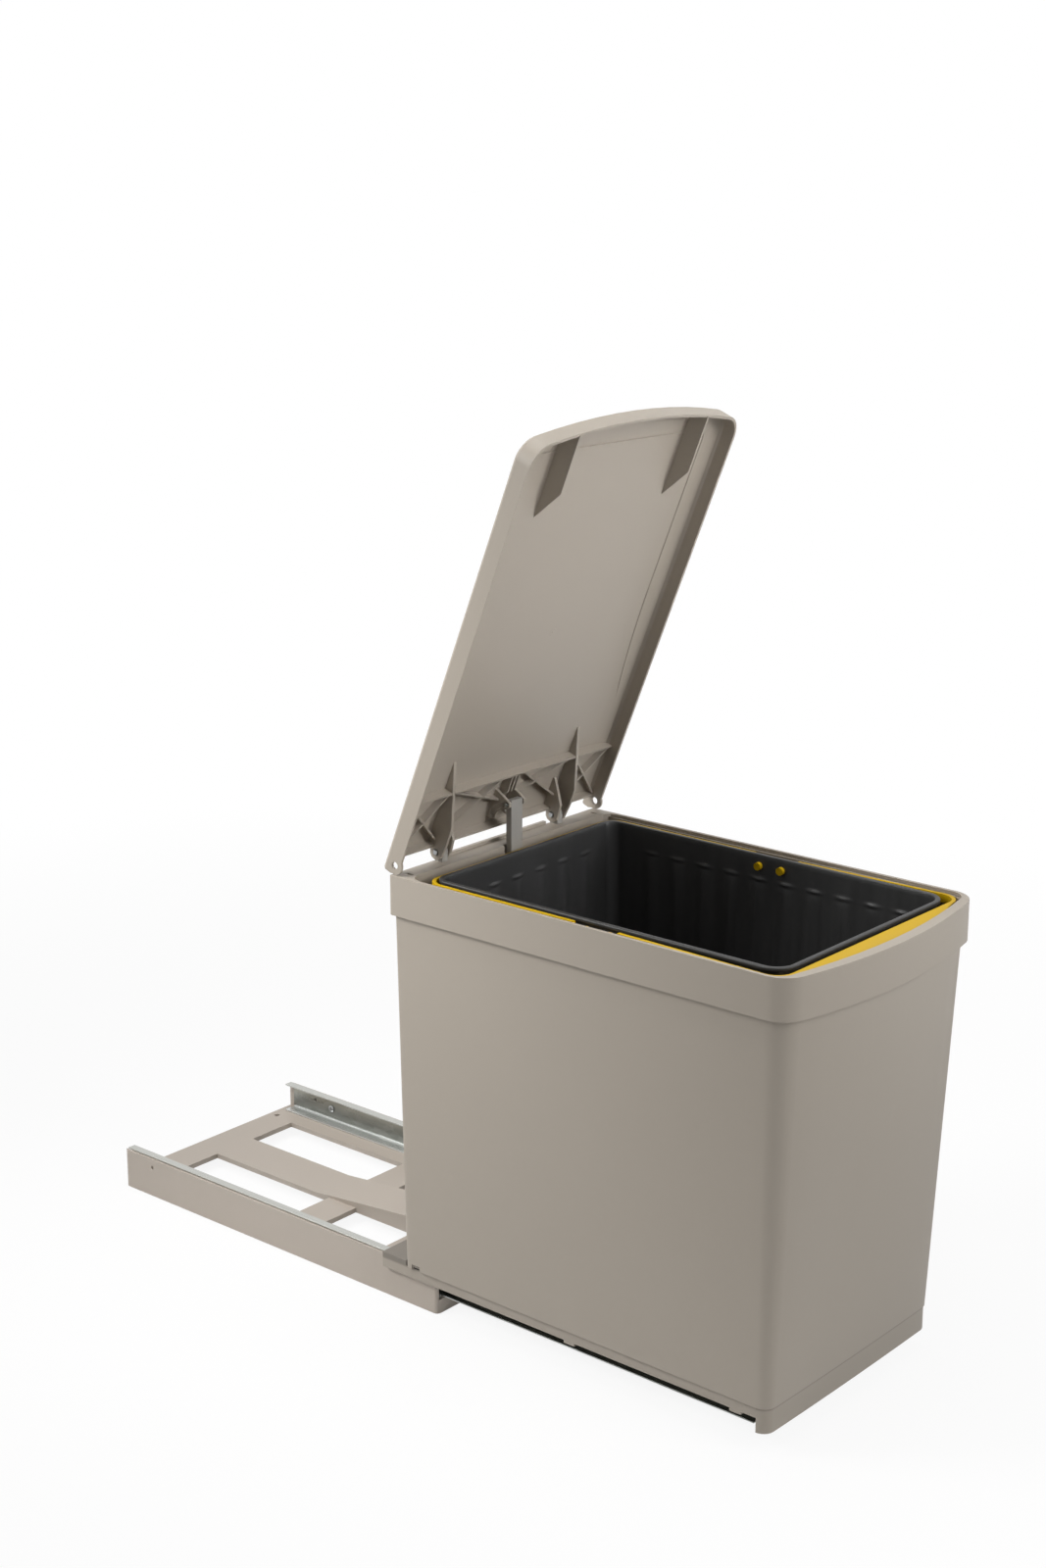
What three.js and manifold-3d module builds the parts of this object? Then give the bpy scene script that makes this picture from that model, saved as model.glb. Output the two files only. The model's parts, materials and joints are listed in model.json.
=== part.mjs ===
// Pull-out waste bin for a base cabinet, shown pulled out with its lid raised.
// Millimetres, +Z up. The bin pulls out along -Y. The origin is the middle of the
// base frame's underside, on the cabinet floor.
import * as THREE from 'three';
import { mergeVertices } from 'three/addons/utils/BufferGeometryUtils.js';
import Module from 'manifold-3d';

const wasm = await Module();
wasm.setup();

// ---- driving dimensions -------------------------------------------------------

// clearances
const seatGap = 0.3; // between two pieces that rest on or slide in each other
const runGap = 0.8; // between two pieces that pass each other

// motion
const slideTravel = 300;
const openAngle = 68; // lid, from level, in degrees
const liftTravel = 21; // rod's rise, which opens the lid

// base frame, screwed to the cabinet floor
const baseLength = 374;
const baseHalfWidth = 102.6;
const basePlate = 12;
const baseSkin = 2.5; // wall left round the pockets in the underside
const plateLip = 4.4; // height of the plate's edge round the windows
const baseWall = 2.2;
const baseWallTop = 34.7;
const cornerRadius = 4;
const centreBar = 44; // width of the bar that carries the ramp
const windowEdge = 71; // outer edge of the windows, from the middle
const rearBar = 31.6;
const rearWindow = 142;
const crossBar = 32;
const frontWindow = 70;
const rampStart = 32.4; // where the bar starts to climb
const rampFlat = 7.4; // level top at the front end
const padHalfLength = 20; // solid pad at the middle of the underside
const padHalfWidth = 8;
const screwBoss = 6; // round pad under each floor screw
const floorScrewX = 75;
const floorScrewInset = 8.6;
const floorScrewBore = 2.4;

// roller runners
const sheet = 1.2;
const runnerInset = 3; // runner's front end behind the frame's front end
const runnerRearInset = 7;
const lipOverhang = 5; // top lip past the rear end of the web
const runnerFoot = 12.6; // width of the lower flange
const runnerLip = 7.1; // width of the top flange
const railLength = 336;
const railFrontInset = 19; // rail's front end behind the bin's bottom front
const railHeight = 12.4;
const railWidth = 12.6;
const railLift = 0.8; // moving rail above the runner's lower flange
const railTabLength = 24; // bare web past the flanges, holding the rear roller
const railTabHeight = 17;
const frontRollerInset = 12; // from the frame's front end
const frontRollerWidth = 8.3;
const rearRollerWidth = 8;
const rearRollerFromTab = 9; // roller centre to the end of the rail's tab
const rearRollerGap = 0.6; // under the runner's top flange
const axleRadius = 2;
const axleHead = 3.2;
const axleHeadThickness = 0.9;
const boreGap = 0.4;
const sightHoleRadius = 1.7;
const sightHoleFromRear = 36;
const sightHoleZ = 27;

// screws
const screwRadius = 1.6;
const screwHeadRadius = 3.2;
const screwHeadHeight = 1.1;
const recessWidth = 0.9;
const recessDepth = 0.6;
const runnerScrewFront = 67; // from the frame's front end
const runnerScrewMiddle = 197; // from the same end
const runnerScrewRear = 57; // from the frame's rear end
const railScrewRows = [-292, -60];
const screwBite = 1.6; // into the frame's side wall
const runnerScrewZ = 24;

// tray that the bin stands on
const trayThickness = 2.4;
const trayClearance = 1; // over the ramp
const stripBottom = 26;
const stripWall = 1.5;
const stripWidth = 4.2; // past the base frame's side
const ribThickness = 2.2;
const shelfLength = 26; // tray past the bin's rear wall
const shelfInner = 76;
const plinthBottom = 15.5;
const plinthStep = 0.8; // plinth's face behind the bin's
const plinthWall = 3;
const plinthRun = 10; // plinth's sides, back from its front
const frontGap = 16.6; // plinth to frame when pushed in
const hookLength = 10;
const hookDrop = 2.4;
const hookFromFront = [29, 182]; // small hooks under the tray's sides

// bin housing
const housingWall = 2;
const housingFlare = 2.2; // past the tray's strips
const housingFrontDraft = 13; // housing's front, bottom behind the frame's
const housingRearBottom = 0.8;
const housingBowBottom = 1;
const housingFloor = 2;
const seamHeight = 35.2;
const housingCorner = 10; // front corners at the bottom
const rearRadius = 4;
const clipLength = 8;
const clipHeight = 5;
const clipFromRear = 8;

// top frame
const frameTop = 364.3;
const frameHalf = 122.5;
const frameSide = 362;
const frameBow = 16.5;
const frameCorner = 16; // front corners
const bandHeight = 31.5;
const frameWall = 2.2;
const frameLip = 2.5;
const mouthSideLand = 2.8; // top face left beside the mouth
const mouthRear = 18;
const mouthFrontLand = 6.4;
const mouthBow = 14;
const mouthRadius = 12; // rear corners
const mouthCorner = 10.5; // front corners
const skirtWall = 2;
const skirtDrop = 14;
const notchHalf = 8.2; // room for the lifting rod
const notchRear = 15.5;
const rearBreak = 2.2; // broken edge along the rear
const ledgeToPost = 6.2; // raised edge between the hinge posts
const ledgeDepth = 3.2;
const ledgeHeight = 2.5;
const cornerSlotInset = 11.5;
const cornerSlotY = 12;
const cornerSlotLength = 7;
const cornerSlotWidth = 3;

// lid hinge
const hingeInset = 6; // axis in front of the frame's rear edge
const hingeLift = 7.7; // axis above the frame's top
const hingeInboard = 53.3; // posts from the frame's side
const postWidth = 6;
const postDepth = 8.4;
const postRadius = 5;
const postFoot = 3; // foot past the post, under the deck
const postFootHeight = 3;
const hingePinRadius = 2.2;
const earThickness = 2.7;
const earRadius = 6;
const earFrom = -100; // the ears' round end, in degrees about the axis
const earTo = 150;
const pinOverhang = 1.2; // pin past the ears

// lid
const lidSideStep = 1.5; // lid's edge inside the frame's
const lidFrontStep = 4;
const lidBow = 12;
const lidRearOverhang = 2.8;
const lidCrown = 12.8; // flat of the top over the axis
const lidEdge = 8; // top's rolled edge over the axis
const lidRoll = [[0, 0], [1.6, 2.2], [4.6, 3.5], [10, 4.4], [20, 4.8]]; // [in from the edge, up]
const lidSheet = 2.5;
const lidFlange = 13;
const flangeWall = 2;
const lidCornerRadius = 15;
const lidRearRadius = 2;
const sideEarRadius = 7;
const sideEarHole = 3;
const rearFlangeBottom = 3.6; // over the axis
const lidRearEdge = 2.5; // between its side ears the lid ends this far in front of the axis
const ribWall = 1.6;
const crossRibFromAxis = 52;
const crossRibDepth = 8;
const finLength = 76;
const finDepth = 17.2;
const finHeel = 12; // full depth starts this far in front of the axis
const finKnee = 26; // and ends here
const shortFinLength = 30;
const cellRibDepth = 6;
const cellRibStart = 10;
const frontFinInboard = 46; // fins from the lid's side
const frontFinLength = 72;
const frontFinDepth = 16;
const frontFinSlant = 27;
const leverRibPitch = 4;
const gussetFoot = 15;
const gussetLength = 21;

// lifting rod
const pinReach = 14.8; // rod in front of the hinge axis
const pinLow = 5.6; // cross pin over the axis, lid shut
const rodWidth = 13.2;
const rodThickness = 5.3;
const rodHeadGap = 1.6; // rod's end under the closed lid
const crossPinRadius = 1.6;
const slotGap = 0.8;
const cheekThickness = 2.5;
const cheekMargin = 1.2; // wall round the slot
const footRollerRadius = 6;
const footRollerWidth = 7;
const forkWall = 2.4;
const forkReach = 3.4; // fork under the roller's axle
const guideHeight = 30;
const guideZ = 236;
const guideWall = 3;
const guideHalf = 16;

// inner bucket
const bucketWall = 2;
const bucketMargin = 13.7; // bucket's wall to the mouth's side
const bucketFloorMargin = 17; // bucket's floor to the bin's side
const bucketRearTop = 34;
const bucketFrontMargin = 8.1; // to the mouth's front
const bucketRearBottom = 49;
const bucketFrontFloor = 22; // bucket's floor to the housing's front
const bucketRadius = 16; // front corners
const bucketRearRadius = 11;
const rimWidth = 2;
const rimHeight = 3;
const bucketTopDrop = 0.3; // rim under the frame's top
const lugLength = 12;
const lugWidth = 9;
const lugHeight = 3.6;

// carrying bails
const bailDrop = 9.3; // pivots under the frame's top
const bailSpacing = 20.8; // between the two pivots on a side
const bailMiddle = 193;
const bailMargin = 9.2; // strap's inner face to the mouth's side
const bailThickness = 2.8;
const bailHeight = 6.5;
const bailRise = 0.8; // strap's underside over the pivot
const bailShoulder = 9.6; // strap is lower this far from its pivot, to pass the lug
const shoulderHeight = 4;
const bailBoss = 5;
const bailPegRadius = 3.2;
const pegGap = 0.4;
const pegInside = 3.5; // peg's end past the bucket's inner face
const frontGrip = 3;
const frontGripBow = 12.5;
const frontBailGap = 3.5; // from the bucket's rim
const rearBailGap = 0.9;
const rearGrip = 3;
const frontSpread = 4; // front bail's corners past its pivots
const bailRadius = 13;

// ---- derived places ------------------------------------------------------------

const radians = THREE.MathUtils.degToRad;
const beyond = 600; // past every edge of the object, for cutting
const frontEnd = -baseLength / 2;
const rearEnd = baseLength / 2;
const rampTop = basePlate + liftTravel;
const runnerScrewRows = [
  frontEnd + runnerScrewFront,
  frontEnd + runnerScrewMiddle,
  rearEnd - runnerScrewRear,
];

const stripOuter = baseHalfWidth + stripWidth;
const housingHalfBottom = stripOuter + housingFlare;
const mouthHalf = frameHalf - mouthSideLand;
const mouthSide = frameSide - mouthFrontLand;
const cornerSlotX = frameHalf - cornerSlotInset;
const hingeX = frameHalf - hingeInboard;
const ledgeHalf = hingeX - postWidth / 2 - ledgeToPost;
const housingFrontBottom = frameSide - housingFrontDraft;
const lidHalf = frameHalf - lidSideStep;
const lidSide = frameSide - lidFrontStep;
const frontFinX = lidHalf - frontFinInboard;
const bucketHalfTop = mouthHalf - bucketMargin;
const bucketHalfBottom = housingHalfBottom - bucketFloorMargin;
const bucketFrontTop = mouthSide - bucketFrontMargin;
const bucketFrontBottom = housingFrontBottom - bucketFrontFloor;
const bailInner = mouthHalf - bailMargin;

const webOuter = baseHalfWidth - baseWall - seatGap;
const webInner = webOuter - sheet;
const runnerBottom = basePlate + seatGap;
const runnerTop = baseWallTop + sheet;
const footTop = runnerBottom + sheet;
const trayUnder = Math.max(rampTop + trayClearance, runnerTop + trayClearance - seatGap);
const trayTop = trayUnder + trayThickness;

const railBottom = footTop + railLift;
const railTop = railBottom + railHeight;
const railTip = webInner - seatGap - screwHeadHeight - boreGap;
const railWebInner = railTip - railWidth;
const railWebOuter = railWebInner + sheet;
const ribOuter = railWebInner - seatGap;
const ribInner = ribOuter - ribThickness;
const frontRollerZ = (railBottom + railTop) / 2;
const frontRollerRadius = railHeight / 2 - sheet - seatGap;
const rearRollerTop = baseWallTop - rearRollerGap;
const rearRollerRadius = (rearRollerTop - footTop - seatGap) / 2;
const rearRollerZ = footTop + seatGap + rearRollerRadius;

const plinthBack = housingFrontBottom - plinthWall;
const hookRows = hookFromFront.map((y) => y - housingFrontBottom);
const carriageY = frontEnd - frontGap + plinthBack - slideTravel;
const railFront = -housingFrontBottom + railFrontInset;
const railRear = railFront + railLength;
const tabEnd = railRear + railTabLength;
const rearRollerY = tabEnd - rearRollerFromTab;

const stripInner = baseHalfWidth + boreGap;
const trayEdge = stripInner + stripWall;
const floorZ = trayTop + seatGap;
const deckUnder = frameTop - frameLip;
const housingTop = deckUnder - seatGap;
const bandBottom = frameTop - bandHeight;
const housingHalfTop = frameHalf - frameWall - seatGap;
const housingRearTop = frameWall + seatGap;
const housingSideTop = frameSide - frameWall - seatGap;

const hingeY = -hingeInset;
const hingeZ = frameTop + hingeLift;
const lidUnder = lidCrown - lidSheet;
const flangeBottom = lidEdge - lidFlange;
const rodY = hingeY - pinReach;
const pinZ = hingeZ + pinLow + liftTravel; // lid raised
const footZ = rampTop + seatGap + footRollerRadius;
const rodTop = hingeZ + lidUnder - rodHeadGap + liftTravel;
const bucketFloorZ = floorZ + housingFloor + seatGap;
const rimTop = frameTop - bucketTopDrop;
const bailZ = frameTop - bailDrop;

// ---- shape helpers -------------------------------------------------------------

// a closed three.js geometry as a solid that can be joined and cut
function solid(geometry) {
  const bare = geometry.clone();
  bare.deleteAttribute('normal');
  bare.deleteAttribute('uv');
  const merged = mergeVertices(bare, 1e-4);
  const mesh = new wasm.Mesh({
    numProp: 3,
    vertProperties: new Float32Array(merged.attributes.position.array),
    triVerts: new Uint32Array(merged.index.array),
  });
  return new wasm.Manifold(mesh);
}

function geometryOf(shape) {
  const mesh = shape.getMesh();
  const geometry = new THREE.BufferGeometry();
  geometry.setAttribute('position', new THREE.Float32BufferAttribute(mesh.vertProperties, 3));
  geometry.setIndex(new THREE.BufferAttribute(mesh.triVerts, 1));
  geometry.computeVertexNormals();
  return geometry;
}

const join = (...shapes) => shapes.reduce((whole, shape) => whole.add(shape));
const cut = (whole, ...tools) => tools.reduce((rest, tool) => rest.subtract(tool), whole);

// a block between two corners, whichever way round each pair is given
function block(x0, x1, y0, y1, z0, z1) {
  const geometry = new THREE.BoxGeometry(Math.abs(x1 - x0), Math.abs(y1 - y0), Math.abs(z1 - z0));
  geometry.translate((x0 + x1) / 2, (y0 + y1) / 2, (z0 + z1) / 2);
  return solid(geometry);
}

const shapeOf = (points) => new THREE.Shape(points.map(([u, v]) => new THREE.Vector2(u, v)));

// an outline seen from above, between two heights
function plan(points, z0, z1) {
  const geometry = new THREE.ExtrudeGeometry(shapeOf(points), { depth: z1 - z0, bevelEnabled: false });
  geometry.translate(0, 0, z0);
  return solid(geometry);
}

// a [y, z] profile seen from the side, between two x
function profileX(points, xa, xb) {
  const depth = Math.abs(xb - xa);
  const geometry = new THREE.ExtrudeGeometry(shapeOf(points), { depth, bevelEnabled: false });
  const x = new THREE.Vector3(1, 0, 0);
  const y = new THREE.Vector3(0, 1, 0);
  const z = new THREE.Vector3(0, 0, 1);
  geometry.applyMatrix4(new THREE.Matrix4().makeBasis(y, z, x));
  geometry.translate(Math.min(xa, xb), 0, 0);
  return solid(geometry);
}

// an [x, z] section seen from the front, between two y
function profileY(points, ya, yb) {
  const depth = Math.abs(yb - ya);
  const geometry = new THREE.ExtrudeGeometry(shapeOf(points), { depth, bevelEnabled: false });
  geometry.rotateX(Math.PI / 2);
  geometry.translate(0, Math.max(ya, yb), 0);
  return solid(geometry);
}

function rodX(radius, xa, xb, y, z, sides = 16) {
  const geometry = new THREE.CylinderGeometry(radius, radius, Math.abs(xb - xa), sides);
  geometry.rotateZ(Math.PI / 2);
  geometry.translate((xa + xb) / 2, y, z);
  return solid(geometry);
}

function rodZ(radius, x, y, z0, z1, sides = 16) {
  const geometry = new THREE.CylinderGeometry(radius, radius, z1 - z0, sides);
  geometry.rotateX(Math.PI / 2);
  geometry.translate(x, y, (z0 + z1) / 2);
  return solid(geometry);
}

// a [radius, height] profile turned about an axis along X, growing towards side
function turnedX(profile, side, x, y, z, sides = 24) {
  const points = profile.map(([r, h]) => new THREE.Vector2(r, h));
  const geometry = new THREE.LatheGeometry(points, sides);
  geometry.rotateZ(-side * Math.PI / 2);
  geometry.translate(x, y, z);
  return solid(geometry);
}

function arc(cx, cy, radius, from, to, steps) {
  const angles = Array.from({ length: steps + 1 }, (_, i) => radians(from + (to - from) * i / steps));
  return angles.map((a) => [cx + radius * Math.cos(a), cy + radius * Math.sin(a)]);
}

// a four-sided outline seen from above: straight rear, straight sides, bowed front
function binOutline(half, rear, front, bow, rearR, frontR) {
  const steps = 6;
  const left = -half + frontR;
  const frontRow = Array.from({ length: 9 }, (_, i) => [left + (i + 1) * -2 * left / 10, front]);
  const points = [
    ...arc(half - rearR, rear - rearR, rearR, 0, 90, 3),
    ...arc(-half + rearR, rear - rearR, rearR, 90, 180, 3),
    ...arc(-half + frontR, front + frontR, frontR, 180, 270, steps),
    ...frontRow,
    ...arc(half - frontR, front + frontR, frontR, 270, 360, steps),
  ];
  const bowed = ([x, y]) => (y < front + frontR + 1 ? [x, y - bow * (1 - (x / half) ** 2)] : [x, y]);
  return points.map(bowed);
}

// a solid between two outlines with as many points, at two heights
function loft(lower, z0, upper, z1) {
  const count = lower.length;
  const positions = [...lower.map(([x, y]) => [x, y, z0]), ...upper.map(([x, y]) => [x, y, z1])];
  const index = [];
  for (let i = 0; i < count; i += 1) {
    const next = (i + 1) % count;
    index.push(i, next, count + next, i, count + next, count + i);
  }
  const asVectors = (outline) => outline.map(([x, y]) => new THREE.Vector2(x, y));
  for (const [a, b, c] of THREE.ShapeUtils.triangulateShape(asVectors(lower), [])) {
    index.push(a, c, b);
  }
  for (const [a, b, c] of THREE.ShapeUtils.triangulateShape(asVectors(upper), [])) {
    index.push(count + a, count + b, count + c);
  }
  const geometry = new THREE.BufferGeometry();
  geometry.setAttribute('position', new THREE.Float32BufferAttribute(positions.flat(), 3));
  geometry.setIndex(index);
  return solid(geometry);
}

// a thin upright rib between two points of the lid's underside
function ribBetween(x0, y0, x1, y1, top, bottom, wall) {
  const length = Math.hypot(x1 - x0, y1 - y0);
  const geometry = new THREE.BoxGeometry(length, wall, top - bottom);
  geometry.rotateZ(Math.atan2(y1 - y0, x1 - x0));
  geometry.translate((x0 + x1) / 2, (y0 + y1) / 2, (top + bottom) / 2);
  return solid(geometry);
}

// ---- materials -----------------------------------------------------------------

function finish(color, roughness, metalness) {
  return new THREE.MeshStandardMaterial({ color, roughness, metalness });
}

const taupe = () => finish(0xaca297, 0.5, 0);
const warmTaupe = () => finish(0xb2a797, 0.5, 0);
const anthracite = () => finish(0x1f2022, 0.4, 0);
const yellow = () => finish(0xdeb826, 0.4, 0);
const coolGrey = () => finish(0x868889, 0.5, 0);
const zinc = () => finish(0xa3a9aa, 0.35, 0.9);
const steel = () => finish(0x8c9193, 0.3, 0.9);
const nylon = () => finish(0xe2e0d8, 0.45, 0);

function add(group, name, shape, material) {
  const mesh = new THREE.Mesh(geometryOf(shape), material);
  mesh.name = name;
  group.add(mesh);
}

// ---- base frame ------------------------------------------------------------------

const rearWindowY = rearEnd - rearBar;
const frontWindowY = rearWindowY - rearWindow - crossBar;
const windows = [
  [rearWindowY - rearWindow, rearWindowY],
  [frontWindowY - frontWindow, frontWindowY],
];

function baseFrame() {
  const c = cornerRadius;
  const outline = [
    ...arc(baseHalfWidth - c, rearEnd - c, c, 0, 90, 4),
    ...arc(-baseHalfWidth + c, rearEnd - c, c, 90, 180, 4),
    ...arc(-baseHalfWidth + c, frontEnd + c, c, 180, 270, 4),
    ...arc(baseHalfWidth - c, frontEnd + c, c, 270, 360, 4),
  ];
  const plate = plan(outline, 0, basePlate);
  const between = baseHalfWidth - baseWall;
  const walls = cut(
    plan(outline, 0, baseWallTop),
    block(-between, between, frontEnd - 1, rearEnd + 1, basePlate, baseWallTop + 1),
  );
  const bar = centreBar / 2;
  const flatY = frontEnd + rampFlat;
  const ramp = profileX(
    [[frontEnd, 1], [rampStart + 20, 1], [rampStart, basePlate], [flatY, rampTop], [frontEnd, rampTop]],
    -bar,
    bar,
  );
  let frame = join(plate, walls, ramp);
  for (const side of [-1, 1]) {
    for (const [y0, y1] of windows) {
      frame = cut(frame, block(side * bar, side * windowEdge, y0, y1, -1, basePlate + 1));
    }
    frame = cut(frame, ...pockets(side));
    const sightY = rearEnd - sightHoleFromRear;
    const holeFrom = side * (webInner - 1);
    const holeTo = side * (webOuter + screwBite + seatGap * 2);
    frame = cut(
      frame,
      rodX(sightHoleRadius, holeFrom, side * (baseHalfWidth + 1), sightY, sightHoleZ),
      rodZ(floorScrewBore, side * floorScrewX, rearEnd - floorScrewInset, -1, basePlate + 1),
      ...runnerScrewRows.map((y) => rodX(screwRadius + seatGap, holeFrom, holeTo, y, runnerScrewZ)),
    );
  }
  return cut(frame, rampPocket(flatY, bar), underside());
}

// the space under the plate, inside the outer walls, round the pads that meet the floor
function underside() {
  const half = baseHalfWidth - baseSkin;
  const top = basePlate - plateLip;
  const space = block(-half, half, frontEnd + baseSkin, rearEnd - baseSkin, -1, top);
  const bossY = rearEnd - floorScrewInset;
  const pads = [-1, 1].map((side) => rodZ(screwBoss, side * floorScrewX, bossY, -2, top + 1));
  return cut(space, middlePad(), ...pads);
}

const middlePad = () => block(-padHalfWidth, padHalfWidth, -padHalfLength, padHalfLength, -2, beyond);

// hollows in the underside, which leave a skin of even thickness
function pockets(side) {
  const top = basePlate - baseSkin;
  const outer = baseHalfWidth - baseSkin;
  const inner = windowEdge + baseSkin;
  const bossSide = floorScrewInset * 2;
  const rows = [
    [frontEnd + baseSkin, frontWindowY - frontWindow - baseSkin, centreBar / 2 + baseSkin, outer],
    [frontWindowY + baseSkin, rearWindowY - rearWindow - baseSkin, centreBar / 2 + baseSkin, windowEdge],
    [rearWindowY + baseSkin, rearEnd - bossSide, centreBar / 2, outer],
    [frontWindowY - frontWindow, frontWindowY, inner, outer],
    [rearWindowY - rearWindow, rearWindowY, inner, outer],
    [rampStart, rearEnd - bossSide, 0, centreBar / 2 - baseSkin],
  ];
  return rows.map(([y0, y1, x0, x1]) => block(side * x0, side * x1, y0, y1, -1, top));
}

// the ramp is a shell too, open below, round the solid pad at the middle
function rampPocket(flatY, bar) {
  const half = bar - baseSkin;
  const y0 = frontEnd + baseSkin;
  const y1 = rampStart;
  const climb = (y) => (rampStart - Math.max(y, flatY)) / (rampStart - flatY);
  const top = (y) => basePlate + (rampTop - basePlate) * climb(y) - baseSkin;
  const space = profileX([[y0, -1], [y1, -1], [y1, top(y1)], [flatY, top(flatY)], [y0, top(y0)]], -half, half);
  return cut(space, middlePad());
}

// ---- runners, rails and rollers ----------------------------------------------------

// fixed channel: foot flange and top flange turned inwards
function runner(side) {
  const y0 = frontEnd + runnerInset;
  const y1 = rearEnd - runnerRearInset;
  const foot = block(side * (webOuter - runnerFoot), side * webOuter, y0, y1, runnerBottom, footTop);
  const web = block(side * webInner, side * webOuter, y0, y1, runnerBottom, runnerTop);
  const lipEdge = side * (webOuter - runnerLip);
  const lip = block(lipEdge, side * webOuter, y0, y1 + lipOverhang, runnerTop - sheet, runnerTop);
  const through = (radius, y, z) => rodX(radius, side * (webInner - 1), side * (webOuter + 1), y, z);
  const holes = runnerScrewRows.map((y) => through(screwRadius + seatGap, y, runnerScrewZ));
  const sight = through(sightHoleRadius, rearEnd - sightHoleFromRear, sightHoleZ);
  const axleHole = through(axleRadius + seatGap, frontEnd + frontRollerInset, frontRollerZ);
  return cut(join(foot, web, lip), ...holes, sight, axleHole);
}

// moving channel, open outwards, with a bare tab at its rear end
function rail(side) {
  const channel = profileY(
    [
      [side * railWebInner, railBottom],
      [side * railTip, railBottom],
      [side * railTip, railBottom + sheet],
      [side * railWebOuter, railBottom + sheet],
      [side * railWebOuter, railTop - sheet],
      [side * railTip, railTop - sheet],
      [side * railTip, railTop],
      [side * railWebInner, railTop],
    ],
    railFront,
    railRear,
  );
  const tabTop = railBottom + railTabHeight;
  const tab = block(side * railWebInner, side * railWebOuter, railRear - 1, tabEnd, railBottom, tabTop);
  const through = (radius, y, z) => rodX(radius, side * (railWebInner - 1), side * (railWebOuter + 1), y, z);
  const holes = railScrewRows.map((y) => through(screwRadius + seatGap, y, frontRollerZ));
  const axleHole = through(axleRadius + seatGap, rearRollerY, rearRollerZ);
  return cut(join(channel, tab), ...holes, axleHole);
}

// a flat roller with broken edges and a bore
function roller(radius, width, bore) {
  const edge = Math.min(0.8, radius / 6);
  return [
    [bore, 0],
    [radius - edge, 0],
    [radius, edge],
    [radius, width - edge],
    [radius - edge, width],
    [bore, width],
    [bore, 0],
  ];
}

// a rivet: shank from 0 to length, then a head
function rivet(length) {
  return [
    [0, 0],
    [axleRadius, 0],
    [axleRadius, length],
    [axleHead, length],
    [axleHead, length + axleHeadThickness / 2],
    [axleRadius, length + axleHeadThickness],
    [0, length + axleHeadThickness],
  ];
}

// a pan-head screw along X: its shank runs from x towards side, its head sits before x
function screw(side, x, y, z, shank) {
  const profile = [
    [0, shank],
    [screwRadius * 0.6, shank],
    [screwRadius, shank - 1],
    [screwRadius, 0],
    [screwHeadRadius, 0],
    [screwHeadRadius, -screwHeadHeight / 2],
    [screwHeadRadius * 0.7, -screwHeadHeight],
    [0, -screwHeadHeight],
  ].reverse();
  const body = turnedX(profile, side, x, y, z, 12);
  const face = x - side * screwHeadHeight;
  const arm = screwHeadRadius * 0.6;
  const slot = recessWidth / 2;
  const wide = block(face - side, face + side * recessDepth, y - arm, y + arm, z - slot, z + slot);
  const tall = block(face - side, face + side * recessDepth, y - slot, y + slot, z - arm, z + arm);
  return cut(body, wide, tall);
}

// ---- tray ------------------------------------------------------------------------

function tray() {
  const rear = -housingRearBottom - housingWall - seatGap;
  const inset = housingHalfBottom - trayEdge;
  const plateOutline = binOutline(
    trayEdge,
    rear,
    -housingFrontBottom + inset,
    housingBowBottom,
    1.5,
    housingCorner - inset,
  );
  const stripTop = seamHeight - seatGap;
  const skirtOutline = binOutline(
    housingHalfBottom - plinthStep,
    0,
    -housingFrontBottom + plinthStep,
    housingBowBottom,
    1.5,
    housingCorner - plinthStep,
  );
  const hollowOutline = binOutline(
    housingHalfBottom - plinthWall,
    10,
    -plinthBack,
    housingBowBottom,
    1.5,
    housingCorner - plinthWall,
  );
  const plate = plan(plateOutline, trayUnder, trayTop);
  const hangingRim = plan(plateOutline, stripTop - 1, trayUnder + 1);
  const hollow = plan(hollowOutline, plinthBottom - 1, stripTop + 1);
  const rim = cut(plan(skirtOutline, plinthBottom, stripTop), hollow);
  const plinthEnd = -housingFrontBottom + plinthRun;
  const plinth = cut(rim, block(-beyond, beyond, plinthEnd, beyond, plinthBottom - 1, stripTop + 1));
  const neck = cut(hangingRim, block(-stripInner, stripInner, -plinthBack + housingBowBottom, 10, 0, beyond));
  let whole = join(plate, plinth, neck);
  for (const side of [-1, 1]) {
    const webFront = -housingFrontBottom + housingCorner;
    const web = block(side * stripInner, side * trayEdge, webFront, shelfLength, stripBottom, trayTop);
    const stripSpan = [side * stripInner, side * stripOuter];
    const strip = block(...stripSpan, plinthEnd - 1, shelfLength, stripBottom, stripTop);
    const shelf = block(side * shelfInner, side * trayEdge, rear - 1, shelfLength, trayUnder, trayTop);
    const edge = block(...stripSpan, seatGap, shelfLength, stripBottom, trayTop);
    const rib = block(side * ribInner, side * ribOuter, railFront, railRear, railBottom, trayUnder + 1);
    const tabY = -clipFromRear;
    const latch = block(
      side * (trayEdge - 1),
      side * (housingHalfBottom - boreGap),
      tabY - clipLength + runGap,
      tabY - runGap,
      trayUnder + boreGap,
      trayTop - boreGap,
    );
    const hooks = hookRows.map((y) => block(
      side * stripInner,
      side * stripOuter,
      y - hookLength / 2,
      y + hookLength / 2,
      stripBottom - hookDrop,
      stripBottom + 1,
    ));
    const ribSpan = [side * (ribInner - 1), side * (ribOuter + 1)];
    const holes = railScrewRows.map((y) => rodX(screwRadius + seatGap, ...ribSpan, y, frontRollerZ));
    whole = cut(join(whole, web, strip, shelf, edge, rib, latch, ...hooks), ...holes);
  }
  return cut(whole, rodSlot(trayUnder - 1, trayTop + 1));
}

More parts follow.
